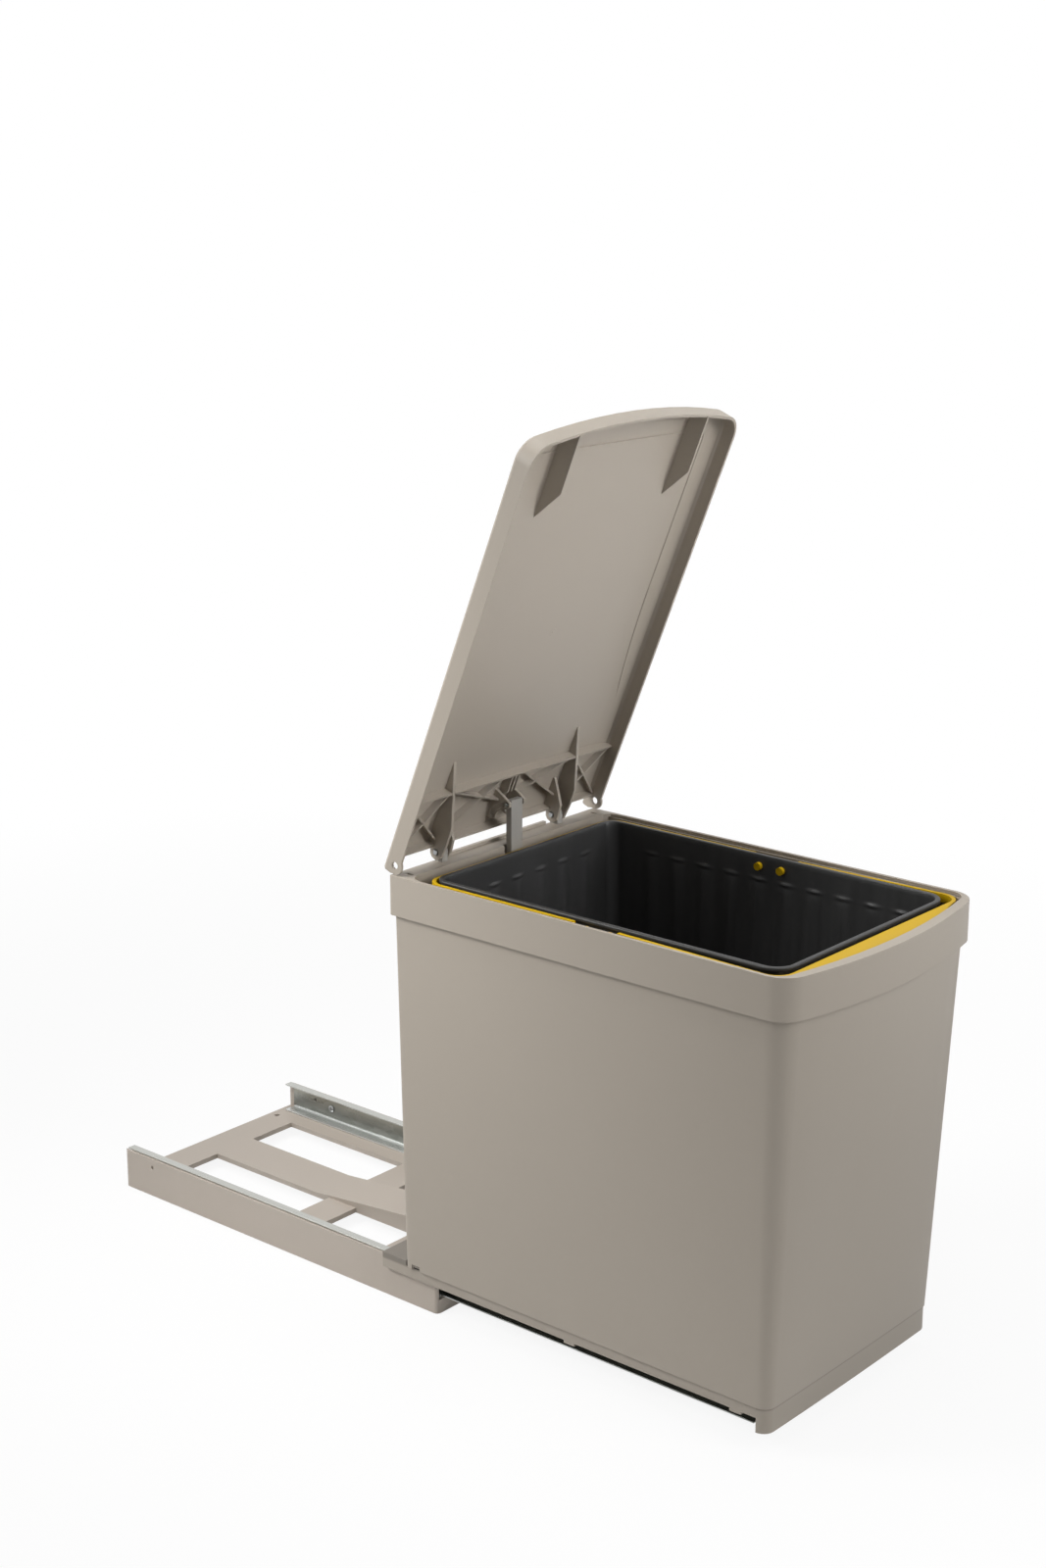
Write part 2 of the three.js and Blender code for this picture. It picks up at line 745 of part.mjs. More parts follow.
// the passage for the lifting rod's fork through the tray and the bin's floor
function rodSlot(z0, z1) {
  const halfX = footRollerWidth / 2 + seatGap + forkWall + runGap;
  const halfY = footRollerRadius + 2 * runGap;
  return block(-halfX, halfX, rodY - halfY, rodY + halfY, z0, z1);
}

// ---- bin housing and top frame -----------------------------------------------------

function housingOutline(inset, atTop) {
  if (atTop) {
    return binOutline(
      housingHalfTop - inset,
      -housingRearTop - inset,
      -housingSideTop + inset,
      frameBow,
      rearRadius - inset,
      frameCorner - inset,
    );
  }
  return binOutline(
    housingHalfBottom - inset,
    -housingRearBottom - inset,
    -housingFrontBottom + inset,
    housingBowBottom,
    rearRadius - inset,
    housingCorner - inset,
  );
}

function housing() {
  const innerBottom = housingOutline(housingWall, false);
  const innerTop = housingOutline(housingWall, true);
  const outer = loft(housingOutline(0, false), seamHeight, housingOutline(0, true), housingTop);
  const inner = loft(innerBottom, seamHeight, innerTop, housingTop);
  const below = plan(innerBottom, seamHeight - 1, floorZ);
  const above = cut(inner, block(-beyond, beyond, -beyond, beyond, 0, floorZ + housingFloor));
  const rimAbove = plan(innerTop, housingTop - 0.01, housingTop + 1);
  let shell = cut(outer, above, below, rimAbove);
  for (const side of [-1, 1]) {
    const shelfPass = block(
      side * (shelfInner - boreGap),
      side * (housingHalfBottom - housingWall),
      -housingRearBottom - housingWall - 1,
      1,
      seamHeight - 1,
      floorZ,
    );
    const windowY = -clipFromRear;
    const clip = block(
      side * (housingHalfBottom - housingWall - runGap),
      side * (housingHalfBottom + 3),
      windowY - clipLength,
      windowY,
      trayTop - clipHeight + boreGap,
      trayTop + boreGap / 2,
    );
    shell = cut(shell, shelfPass, clip);
  }
  return cut(shell, rodSlot(seamHeight - 1, floorZ + housingFloor + 1));
}

function mouthOutline(inset) {
  return binOutline(
    mouthHalf - inset,
    -mouthRear - inset,
    -mouthSide + inset,
    mouthBow,
    mouthRadius - inset,
    mouthCorner - inset,
  );
}

function topFrame() {
  const outer = binOutline(frameHalf, 0, -frameSide, frameBow, rearRadius, frameCorner);
  const inner = binOutline(
    frameHalf - frameWall,
    -frameWall,
    -frameSide + frameWall,
    frameBow,
    rearRadius - frameWall,
    frameCorner - frameWall,
  );
  const band = cut(plan(outer, bandBottom, frameTop), plan(inner, bandBottom - 1, deckUnder));
  const skirtHalf = housingHalfTop - housingWall - seatGap - 1;
  const skirt = cut(
    plan(mouthOutline(-skirtWall), frameTop - skirtDrop, deckUnder + 1),
    block(-beyond, beyond, -beyond, -mouthRear - mouthRadius, 0, beyond),
    block(-beyond, -skirtHalf, -beyond, beyond, 0, beyond),
    block(skirtHalf, beyond, -beyond, beyond, 0, beyond),
  );
  let frame = cut(join(band, skirt), plan(mouthOutline(0), bandBottom - 1, frameTop + 1));
  frame = cut(frame, block(-notchHalf, notchHalf, -mouthRear - 1, -notchRear, bandBottom - 1, frameTop + 1));
  for (const side of [-1, 1]) {
    const post = block(
      side * (hingeX - postWidth / 2 - seatGap),
      side * (hingeX + postWidth / 2 + seatGap),
      hingeY - postDepth / 2 - seatGap,
      hingeY + postDepth / 2 - seatGap,
      deckUnder - 1,
      frameTop + 1,
    );
    const cornerSlot = block(
      side * (cornerSlotX - cornerSlotWidth / 2),
      side * (cornerSlotX + cornerSlotWidth / 2),
      -cornerSlotY - cornerSlotLength / 2,
      -cornerSlotY + cornerSlotLength / 2,
      deckUnder - 1,
      frameTop + 1,
    );
    frame = cut(frame, post, cornerSlot);
  }
  const rearEdge = profileX(
    [[-rearBreak, frameTop], [1, frameTop + rearBreak + 1], [1, frameTop - rearBreak - 1]],
    -beyond,
    beyond,
  );
  const ledge = block(-ledgeHalf, ledgeHalf, -ledgeDepth, 0, deckUnder + boreGap, frameTop + ledgeHeight);
  return join(cut(frame, rearEdge), ledge);
}

// ---- lid hinge and lifting rod -------------------------------------------------------

// a post with a rounded head, held by its foot under the deck
function hingePost(side) {
  const half = postDepth / 2 - seatGap;
  const xa = side * (hingeX - postWidth / 2);
  const xb = side * (hingeX + postWidth / 2);
  const head = arc(hingeY, hingeZ, postRadius * 0.88, 0, 180, 8);
  const footTopZ = deckUnder - seatGap;
  const heelY = -housingRearTop - housingWall - seatGap;
  const stem = profileX(
    [
      [hingeY - half, footTopZ - 1],
      [heelY, footTopZ - 1],
      [heelY, deckUnder],
      [hingeY + half - seatGap, deckUnder],
      ...head,
    ],
    xa,
    xb,
  );
  const foot = block(
    side * (hingeX - postWidth / 2 - postFoot),
    side * (hingeX + postWidth / 2 + postFoot),
    hingeY - half - postFoot,
    heelY,
    footTopZ - postFootHeight,
    footTopZ,
  );
  const bore = rodX(hingePinRadius + seatGap, xa - side, xb + side, hingeY, hingeZ);
  return cut(join(stem, foot), bore);
}

function hingePin(side) {
  const half = postWidth / 2 + seatGap + earThickness + pinOverhang;
  return rodX(hingePinRadius, side * (hingeX - half), side * (hingeX + half), hingeY, hingeZ);
}

function liftRod() {
  const half = rodWidth / 2;
  const thick = rodThickness / 2;
  const forkTop = footZ + footRollerRadius + 2;
  const shaft = block(-half, half, rodY - thick, rodY + thick, forkTop, rodTop);
  const forkHalf = footRollerWidth / 2 + seatGap + forkWall;
  const forkThick = thick + 1.5;
  const head = block(-forkHalf, forkHalf, rodY - forkThick, rodY + forkThick, footZ - forkReach, forkTop + 6);
  const gap = block(
    -footRollerWidth / 2 - seatGap,
    footRollerWidth / 2 + seatGap,
    rodY - 10,
    rodY + 10,
    footZ - forkReach - 1,
    footZ + footRollerRadius + runGap,
  );
  const crossHole = rodX(crossPinRadius + boreGap, -half - 1, half + 1, rodY, pinZ);
  const axleHole = rodX(axleRadius + seatGap, -forkHalf - 1, forkHalf + 1, rodY, footZ);
  return cut(join(shaft, head), gap, crossHole, axleHole);
}

// a sleeve on the bin's rear wall that keeps the rod upright
function rodGuide() {
  const rearAt = (z) => {
    const share = (z - seamHeight) / (housingTop - seamHeight);
    return -housingRearBottom - (housingRearTop - housingRearBottom) * share - housingWall - seatGap;
  };
  const guideTop = guideZ + guideHeight;
  const front = rodY - rodThickness / 2 - boreGap - guideWall;
  const body = profileX(
    [[rearAt(guideZ), guideZ], [rearAt(guideTop), guideTop], [front, guideTop], [front, guideZ]],
    -guideHalf,
    guideHalf,
  );
  const passage = block(
    -rodWidth / 2 - boreGap,
    rodWidth / 2 + boreGap,
    rodY - rodThickness / 2 - boreGap,
    rodY + rodThickness / 2 + boreGap,
    guideZ - 1,
    guideTop + 1,
  );
  return cut(body, passage);
}

// ---- lid, modelled level about its hinge axis ------------------------------------------

// the lid's outline drawn in from its edge; the rear edge stays straight
function lidOutline(inset) {
  const rear = lidRearOverhang - hingeY;
  const corner = Math.max(lidCornerRadius - inset, 1);
  return binOutline(lidHalf - inset, rear, -lidSide - hingeY + inset, lidBow, lidRearRadius, corner);
}

// the lid's full form down to a level, drawn in and lowered by a wall
function lidForm(wall, sheet, bottom) {
  const rings = lidRoll.map(([inset, up]) => [lidOutline(wall + inset), lidEdge - sheet + up]);
  const steps = rings.slice(1).map(([outline, z], i) => loft(rings[i][0], rings[i][1], outline, z));
  return join(plan(rings[0][0], bottom, rings[0][1]), ...steps);
}

function lid() {
  const rear = lidRearOverhang - hingeY;
  const front = -lidSide - hingeY;
  const form = lidForm(0, 0, flangeBottom);
  const tip = rear + 1;
  const insideForm = cut(
    lidForm(flangeWall, lidSheet, flangeBottom - 1),
    block(-beyond, beyond, -lidRearEdge - flangeWall, tip, -beyond, beyond),
  );
  // only the side flanges reach past the axis, as ears; the rear flange is short
  const r = sideEarRadius - runGap;
  const heelCut = [
    [0, flangeBottom - 1],
    ...arc(0, 0, r, -90, -22, 6).filter(([, z]) => z > flangeBottom - 1),
    [rear - 0.1, rearFlangeBottom],
    [tip, rearFlangeBottom + 2],
    [tip, flangeBottom - 1],
  ];
  const between = lidHalf - flangeWall;
  let whole = cut(
    form,
    insideForm,
    profileX(heelCut, -lidHalf - 1, lidHalf + 1),
    block(-between, between, -lidRearEdge, tip, -beyond, beyond),
    block(-between, between, -lidRearEdge - flangeWall - 1, tip, flangeBottom - 1, rearFlangeBottom),
  );
  const fuse = lidCrown - lidSheet / 2;
  const crossY = -crossRibFromAxis;
  const crossBottom = lidUnder - crossRibDepth;
  const ribs = [ribBetween(-lidHalf + 1, crossY, lidHalf - 1, crossY, fuse, crossBottom, ribWall)];
  for (const side of [-1, 1]) {
    ribs.push(...hingeEars(side, fuse), ...cellRibs(side, crossY, fuse));
    ribs.push(frontFin(side, front, fuse), clevisCheek(side, fuse));
  }
  for (const step of [-1, 0, 1]) {
    const gusset = [
      [crossY, fuse],
      [crossY, crossBottom],
      [crossY + gussetFoot, crossBottom],
      [crossY + gussetLength, lidUnder - 1.5],
      [crossY + gussetLength, fuse],
    ];
    ribs.push(profileX(gusset, step * leverRibPitch - ribWall / 2, step * leverRibPitch + ribWall / 2));
  }
  whole = join(whole, join(...ribs).intersect(lidForm(0, 0, -beyond)));
  for (const side of [-1, 1]) {
    const ear = rodX(sideEarRadius, side * (lidHalf - flangeWall), side * lidHalf, 0, 0, 28);
    const bore = rodX(hingePinRadius + boreGap, side * (hingeX - 12), side * (hingeX + 12), 0, 0);
    const earHole = rodX(sideEarHole, side * (lidHalf - 6), side * (lidHalf + 1), 0, 0);
    const postSpan = [hingeX - postWidth / 2 - seatGap, hingeX + postWidth / 2 + seatGap].map((x) => side * x);
    const room = rodX(postRadius * 0.88 + runGap, ...postSpan, 0, 0, 24);
    whole = cut(join(whole, ear), bore, earHole, room);
  }
  return whole;
}

// the long tapering fin outside each post and the short ear inside it
function hingeEars(side, fuse) {
  const inside = hingeX - postWidth / 2 - seatGap;
  const outside = hingeX + postWidth / 2 + seatGap;
  const round = arc(0, 0, earRadius, earFrom, earTo, 8);
  const long = [
    [-finLength, fuse],
    [-finLength, lidUnder - 0.6],
    [-finKnee, lidUnder - finDepth],
    [-finHeel, lidUnder - finDepth],
    ...round,
    [-lidRearEdge - 1, fuse],
  ];
  const short = [
    [-shortFinLength, fuse],
    [-shortFinLength, lidUnder - 2],
    [-finHeel, lidUnder - finDepth + 2],
    ...round,
    [-lidRearEdge - 1, fuse],
  ];
  return [
    profileX(long, side * outside, side * (outside + earThickness)),
    profileX(short, side * (inside - earThickness), side * inside),
  ];
}

// thin crossed ribs in the cells between the rear edge and the cross rib
function cellRibs(side, crossY, fuse) {
  const bottom = lidUnder - cellRibDepth;
  const finX = hingeX + postWidth / 2 + seatGap + earThickness / 2;
  const rearY = -cellRibStart;
  const edge = lidHalf - flangeWall / 2;
  const cheek = rodWidth / 2 + seatGap * 3 + cheekThickness;
  return [
    ribBetween(side * cheek, crossY, side * finX, rearY, fuse, bottom, ribWall),
    ribBetween(side * cheek, rearY - 20, side * finX, crossY, fuse, bottom, ribWall),
    ribBetween(side * finX, crossY, side * edge, rearY + 6, fuse, bottom, ribWall),
    ribBetween(side * finX, rearY + 2, side * edge, crossY, fuse, bottom, ribWall),
  ];
}

function frontFin(side, front, fuse) {
  const bowAt = lidBow * (1 - (frontFinX / lidHalf) ** 2);
  const start = front - bowAt + flangeWall;
  const end = start + frontFinLength;
  const points = [
    [start - 1, fuse],
    [end, fuse],
    [end, lidUnder],
    [end - frontFinSlant, lidUnder - frontFinDepth],
    [start - 1, lidUnder - frontFinDepth],
  ];
  return profileX(points, side * (frontFinX - ribWall / 2), side * (frontFinX + ribWall / 2));
}

// where the cross pin stands in the lid's own frame, part of the way open
function pinInLid(share) {
  const angle = radians(openAngle * share);
  const rise = pinLow + liftTravel * share;
  return [
    -pinReach * Math.cos(angle) - rise * Math.sin(angle),
    -pinReach * Math.sin(angle) + rise * Math.cos(angle),
  ];
}

// a row of points moved sideways, to the left of the way it runs
function beside(path, distance) {
  return path.map(([y, z], i) => {
    const [y0, z0] = path[Math.max(i - 1, 0)];
    const [y1, z1] = path[Math.min(i + 1, path.length - 1)];
    const length = Math.hypot(y1 - y0, z1 - z0);
    return [y - (z1 - z0) / length * distance, z + (y1 - y0) / length * distance];
  });
}

// a cheek of the clevis: the rod's cross pin slides in its curved slot
function clevisCheek(side, fuse) {
  const path = Array.from({ length: 9 }, (_, i) => pinInLid(i / 8));
  const slotRadius = crossPinRadius + slotGap;
  const reach = slotRadius + cheekMargin;
  const [nearY, nearZ] = path[0];
  const [farY, farZ] = path[path.length - 1];
  const plate = [
    [nearY + reach, fuse],
    [nearY + reach, nearZ],
    ...beside(path, reach),
    [farY, farZ - reach],
    [farY - reach * 0.75, farZ - reach * 0.7],
    [farY - reach, farZ],
    [farY - reach - 3, fuse],
  ];
  const x0 = rodWidth / 2 + seatGap * 3;
  const x1 = x0 + cheekThickness;
  const span = [side * (x0 - 1), side * (x1 + 1)];
  const slot = join(
    profileX([...beside(path, slotRadius), ...beside(path, -slotRadius).reverse()], ...span),
    rodX(slotRadius, ...span, nearY, nearZ),
    rodX(slotRadius, ...span, farY, farZ),
  );
  return cut(profileX(plate, side * x0, side * x1), slot);
}

// ---- bucket and bails -------------------------------------------------------------------

function bucketOutline(inset, atTop) {
  if (atTop) {
    return binOutline(
      bucketHalfTop - inset,
      -bucketRearTop - inset,
      -bucketFrontTop + inset,
      0,
      bucketRearRadius - inset,
      bucketRadius - inset,
    );
  }
  return binOutline(
    bucketHalfBottom - inset,
    -bucketRearBottom - inset,
    -bucketFrontBottom + inset,
    0,
    bucketRearRadius - inset,
    bucketRadius - inset,
  );
}

function bucket() {
  const outer = loft(bucketOutline(0, false), bucketFloorZ, bucketOutline(0, true), rimTop);
  const innerBottom = bucketOutline(bucketWall, false);
  const inner = loft(innerBottom, bucketFloorZ + bucketWall, bucketOutline(bucketWall, true), rimTop);
  const mouth = plan(bucketOutline(bucketWall, true), rimTop - 0.01, rimTop + 1);
  const rim = plan(bucketOutline(-rimWidth, true), rimTop - rimHeight, rimTop);
  let shell = cut(join(outer, rim), inner, mouth);
  for (const side of [-1, 1]) {
    const lug = block(
      side * (bucketHalfTop - 1),
      side * (bucketHalfTop + lugWidth),
      -bailMiddle - lugLength / 2,
      -bailMiddle + lugLength / 2,
      rimTop - lugHeight,
      rimTop,
    );
    shell = join(shell, lug);
    for (const way of [-1, 1]) {
      const y = -bailMiddle + way * bailSpacing / 2;
      const through = [side * (bucketHalfTop - 8), side * (bucketHalfTop + 8)];
      const hole = rodX(bailPegRadius + pegGap, ...through, y, bailZ);
      shell = cut(shell, hole);
    }
  }
  return shell;
}

// a bail lying level: two straps, a grip across, and a peg through the bucket at each end
function bail(way) {
  const pivotY = -bailMiddle + way * bailSpacing / 2;
  const outer = bailInner + bailThickness;
  const isFront = way < 0;
  const rimEdge = isFront ? -bucketFrontTop - rimWidth : -bucketRearTop + rimWidth;
  const gap = isFront ? frontBailGap : rearBailGap;
  const grip = isFront ? frontGrip : rearGrip;
  const bow = isFront ? frontGripBow : 0;
  const innerGrip = rimEdge + way * gap;
  const outerGrip = innerGrip + way * grip;
  const steps = 6;
  const flip = way;
  const corner = (half, y, radius) => [
    ...arc(half - radius, 0, radius, 0, 90, steps).map(([x, v]) => [x, y - flip * radius + flip * v]),
    ...arc(-half + radius, 0, radius, 90, 180, steps).map(([x, v]) => [x, y - flip * radius + flip * v]),
  ];
  const bowed = ([x, y]) => {
    const share = Math.max(0, 1 - (x / bailInner) ** 2);
    return [x, y + flip * bow * share];
  };
  const spread = isFront ? frontSpread : 0;
  const rowX = Array.from({ length: 7 }, (_, i) => (outer + spread - bailRadius) * (1 - (i + 1) / 4));
  const outerCorners = corner(outer + spread, outerGrip, bailRadius + bailThickness);
  const half = outerCorners.length / 2;
  const outline = [
    [outer, pivotY],
    ...outerCorners.slice(0, half),
    ...rowX.map((x) => bowed([x, outerGrip])),
    ...outerCorners.slice(half),
    [-outer, pivotY],
    [-bailInner, pivotY],
    ...corner(bailInner + spread, innerGrip, bailRadius).reverse(),
    [bailInner, pivotY],
  ];
  const strapBottom = bailZ + bailRise;
  const shoulder = [pivotY - way, pivotY + way * bailShoulder, bailZ + shoulderHeight, beyond];
  const strap = cut(plan(outline, strapBottom, strapBottom + bailHeight), block(-beyond, beyond, ...shoulder));
  const bossInner = bucketHalfTop + rimWidth + runGap;
  const pegInner = bucketHalfTop - bucketWall - pegInside;
  const ends = [-1, 1].flatMap((side) => [
    rodX(bailBoss, side * bossInner, side * outer, pivotY, bailZ, 20),
    rodX(bailPegRadius, side * pegInner, side * (outer - 1), pivotY, bailZ, 16),
  ]);
  return join(strap, ...ends);
}

// ---- assembly ----------------------------------------------------------------------------

const object = new THREE.Group();
const base = new THREE.Group();
const carriage = new THREE.Group();
carriage.position.set(0, carriageY, 0);
const lidGroup = new THREE.Group();
lidGroup.position.set(0, hingeY, hingeZ);
lidGroup.rotation.x = radians(-openAngle);
carriage.add(lidGroup);
object.add(base, carriage);

add(base, 'base_frame', baseFrame(), warmTaupe());
add(carriage, 'carriage_tray', tray(), taupe());
add(carriage, 'bin_housing', housing(), taupe());
add(carriage, 'top_frame', topFrame(), taupe());
add(carriage, 'inner_bucket', bucket(), anthracite());
add(carriage, 'front_bail', bail(-1), yellow());
add(carriage, 'rear_bail', bail(1), yellow());
add(lidGroup, 'lid', lid(), taupe());

for (const [label, side] of [['left', -1], ['right', 1]]) {
  add(base, `runner_${label}`, runner(side), zinc());
  runnerScrewRows.forEach((y, i) => {
    const shank = seatGap + sheet + seatGap + screwBite;
    const shape = screw(side, side * (webInner - seatGap), y, runnerScrewZ, shank);
    add(base, `runner_screw_${label}_${i + 1}`, shape, steel());
  });
  const frontY = frontEnd + frontRollerInset;
  const frontInner = railWebOuter + 2 * boreGap + axleHeadThickness + seatGap;
  const bore = axleRadius + boreGap;
  const frontRoller = roller(frontRollerRadius, frontRollerWidth, bore);
  add(
    base,
    `front_axle_${label}`,
    turnedX(rivet(webOuter - frontInner + seatGap), -side, side * webOuter, frontY, frontRollerZ, 16),
    steel(),
  );
  add(
    base,
    `front_roller_${label}`,
    turnedX(frontRoller, side, side * frontInner, frontY, frontRollerZ, 20),
    nylon(),
  );
  add(carriage, `rail_${label}`, rail(side), zinc());
  railScrewRows.forEach((y, i) => {
    const shank = seatGap + ribThickness + seatGap + sheet;
    const shape = screw(side, side * (ribInner - seatGap), y, frontRollerZ, shank);
    add(carriage, `rail_screw_${label}_${i + 1}`, shape, steel());
  });
  const rearInner = railWebOuter + runGap;
  const rearAxle = rivet(sheet + runGap + rearRollerWidth + seatGap);
  const rearRoller = roller(rearRollerRadius, rearRollerWidth, bore);
  add(
    carriage,
    `rear_axle_${label}`,
    turnedX(rearAxle, side, side * railWebInner, rearRollerY, rearRollerZ, 16),
    steel(),
  );
  add(
    carriage,
    `rear_roller_${label}`,
    turnedX(rearRoller, side, side * rearInner, rearRollerY, rearRollerZ, 28),
    nylon(),
  );
  add(carriage, `hinge_post_${label}`, hingePost(side), coolGrey());
  add(carriage, `hinge_pin_${label}`, hingePin(side), steel());
}

add(carriage, 'rod_guide', rodGuide(), coolGrey());
add(carriage, 'lift_rod', liftRod(), coolGrey());
const crossPinHalf = rodWidth / 2 + seatGap * 3 + cheekThickness + 0.8;
add(carriage, 'cross_pin', rodX(crossPinRadius, -crossPinHalf, crossPinHalf, rodY, pinZ), steel());
const footAxleHalf = footRollerWidth / 2 + seatGap + forkWall;
add(carriage, 'foot_axle', rodX(axleRadius, -footAxleHalf, footAxleHalf, rodY, footZ), steel());
const footRoller = roller(footRollerRadius, footRollerWidth, axleRadius + boreGap);
add(carriage, 'foot_roller', turnedX(footRoller, 1, -footRollerWidth / 2, rodY, footZ, 20), nylon());

export default object;
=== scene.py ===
import json
import math
import bmesh
import bpy
import numpy as np
from mathutils import Matrix, Vector


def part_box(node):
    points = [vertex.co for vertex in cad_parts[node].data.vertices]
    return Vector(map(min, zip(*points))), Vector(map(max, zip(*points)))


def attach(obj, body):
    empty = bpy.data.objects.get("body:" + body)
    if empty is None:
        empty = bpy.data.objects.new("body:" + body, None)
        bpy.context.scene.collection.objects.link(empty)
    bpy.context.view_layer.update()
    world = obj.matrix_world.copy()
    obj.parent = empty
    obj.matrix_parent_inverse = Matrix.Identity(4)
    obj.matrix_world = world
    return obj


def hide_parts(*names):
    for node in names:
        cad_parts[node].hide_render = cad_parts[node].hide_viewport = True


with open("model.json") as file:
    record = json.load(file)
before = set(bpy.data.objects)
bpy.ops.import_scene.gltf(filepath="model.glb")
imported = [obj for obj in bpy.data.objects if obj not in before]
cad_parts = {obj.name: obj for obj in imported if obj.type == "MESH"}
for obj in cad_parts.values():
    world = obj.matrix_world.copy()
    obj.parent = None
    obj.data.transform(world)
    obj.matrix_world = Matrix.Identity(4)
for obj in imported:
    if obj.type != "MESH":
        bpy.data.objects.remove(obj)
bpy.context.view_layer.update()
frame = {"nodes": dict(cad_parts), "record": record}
nodes = frame["nodes"]
bodies = frame["record"]["behaviour"]["bodies"]
bodyOfNode = {node: body for body, members in bodies.items() for node in members}
mm = 0.001
slotOfNode = {s["node"]: s["material_slot"] for s in frame["record"]["subparts"]}
carriageY = -157.6  # the pulled-out bin's own zero, in millimetres

view = {
    "eye": (-1.38595, -1.36433, 0.91076),
    "azimuth": -49.66,
    "elevation": 15.25,
    "roll": -0.13,
    "lens": 55.562,
}


# the camera looks back along the line from its azimuth and elevation, rolled a little about it
def makeCamera():
    data = bpy.data.cameras.new("camera")
    data.sensor_width = 36
    data.lens = view["lens"]
    camera = bpy.data.objects.new("camera", data)
    bpy.context.scene.collection.objects.link(camera)
    a, e, r = (math.radians(view[k]) for k in ("azimuth", "elevation", "roll"))
    back = Vector((math.sin(a) * math.cos(e), -math.cos(a) * math.cos(e), math.sin(e)))
    right = Vector((math.cos(a), math.sin(a), 0))
    up = back.cross(right)
    rolledRight = right * math.cos(r) - up * math.sin(r)
    rolledUp = right * math.sin(r) + up * math.cos(r)
    camera.matrix_world = Matrix((rolledRight, rolledUp, back)).transposed().to_4x4()
    camera.location = view["eye"]
    bpy.context.scene.camera = camera


lamps = {
    # name: place, what it faces, size, power, spread in degrees
    "frontSoftbox": ((0.1, -1.95, 1.5), (0.0, -0.35, 0.35), 1.0, 13.8, 180),
    "rearLeftSoftbox": ((-0.75, 0.45, 1.0), (-0.12, 0.02, 0.5), 0.5, 2.9, 76),
    "lidSoftbox": ((0.3, -1.6, 0.85), (0.0, -0.25, 0.58), 0.4, 0.36, 28),
    "overhead": ((-0.1, -0.2, 2.6), (0.0, -0.2, 0.2), 1.6, 27, 180),
}


def makeLights():
    for name, (place, target, size, power, spread) in lamps.items():
        data = bpy.data.lights.new(name, "AREA")
        data.shape = "SQUARE"
        data.size = size
        data.energy = power
        data.spread = math.radians(spread)
        lamp = bpy.data.objects.new(name, data)
        lamp.location = place
        away = Vector(place) - Vector(target)
        lamp.rotation_euler = away.to_track_quat("Z", "Y").to_euler()
        bpy.context.scene.collection.objects.link(lamp)


# a socket that takes part in arithmetic: each operator adds one Math node
class Wire:
    def __init__(self, finish, socket):
        self.finish = finish
        self.socket = socket

    def through(self, operation, *values):
        return self.finish.node("ShaderNodeMath", {"operation": operation}, values)

    def __add__(self, other):
        return self.through("ADD", self, other)

    def __mul__(self, other):
        return self.through("MULTIPLY", self, other)

    def __sub__(self, other):
        return self.through("SUBTRACT", self, other)

    def __rsub__(self, other):
        return self.through("SUBTRACT", other, self)


# one material: every other node comes from node()
class Finish:
    def __init__(self, name, **constants):
        self.material = bpy.data.materials.new(name)
        self.material.use_nodes = True
        self.tree = self.material.node_tree
        self.shader = self.tree.nodes["Principled BSDF"]
        for socket, value in constants.items():
            self.shader.inputs[socket.replace("_", " ")].default_value = value

    def node(self, kind, settings=(), values=(), out=0):
        made = self.tree.nodes.new(kind)
        for key, value in dict(settings).items():
            if key == "stops":
                ramp = made.color_ramp
                ramp.elements[0].position, ramp.elements[0].color = value[0]
                ramp.elements[1].position, ramp.elements[1].color = value[-1]
                for position, colour in value[1:-1]:
                    ramp.elements.new(position).color = colour
            else:
                setattr(made, key, value)
        pairs = values.items() if isinstance(values, dict) else enumerate(values)
        for key, value in pairs:
            if isinstance(value, Wire):
                self.tree.links.new(value.socket, made.inputs[key])
            else:
                made.inputs[key].default_value = value
        return Wire(self, made.outputs[out])

    # Object coordinates, turned about X and stretched
    def place(self, stretch=(1, 1, 1), turn=0.0):
        here = self.node("ShaderNodeTexCoord", out="Object")
        values = {"Vector": here, "Scale": stretch, "Rotation": (turn, 0, 0)}
        return self.node("ShaderNodeMapping", {}, values)

    # noise from 0 to 1 whose features are about size metres across
    def noise(self, size, detail=2.0, stretch=(1, 1, 1), turn=0.0):
        values = {"Vector": self.place(stretch, turn), "Scale": 1 / size, "Detail": detail}
        return self.node("ShaderNodeTexNoise", {}, values)

    # flat-coloured cells about size metres across
    def cells(self, size, stretch):
        values = {"Vector": self.place(stretch), "Scale": 1 / size}
        return self.node("ShaderNodeTexVoronoi", {}, values, out="Color")

    # height above the floor at rest, in metres
    def height(self):
        return self.node("ShaderNodeSeparateXYZ", {}, {0: self.place()}, out="Z")

    # a value moved from one range to another and held there
    def remap(self, value, low, high, newLow=0.0, newHigh=1.0):
        values = {"Value": value, "From Min": low, "From Max": high,
                  "To Min": newLow, "To Max": newHigh}
        return self.node("ShaderNodeMapRange", {"clamp": True}, values)

    def mix(self, share, first, second):
        values = {0: share, 6: first, 7: second}
        return self.node("ShaderNodeMix", {"data_type": "RGBA"}, values, out=2)

    def bump(self, height, depth, strength=0.5):
        values = {"Height": height, "Distance": depth, "Strength": strength}
        return self.node("ShaderNodeBump", {}, values, out="Normal")

    def surface(self, **sockets):
        for socket, wire in sockets.items():
            self.tree.links.new(wire.socket, self.shader.inputs[socket.replace("_", " ")])
        return self.material


# a colour as seen, 0 to 255, turned into the linear one that shaders take
def linear(*seen):
    parts = [c / 255 for c in seen]
    return tuple(c / 12.92 if c < 0.04045 else ((c + 0.055) / 1.055) ** 2.4 for c in parts) + (1,)


def shade(colour, share):
    return tuple(c * share for c in colour[:3]) + (1,)


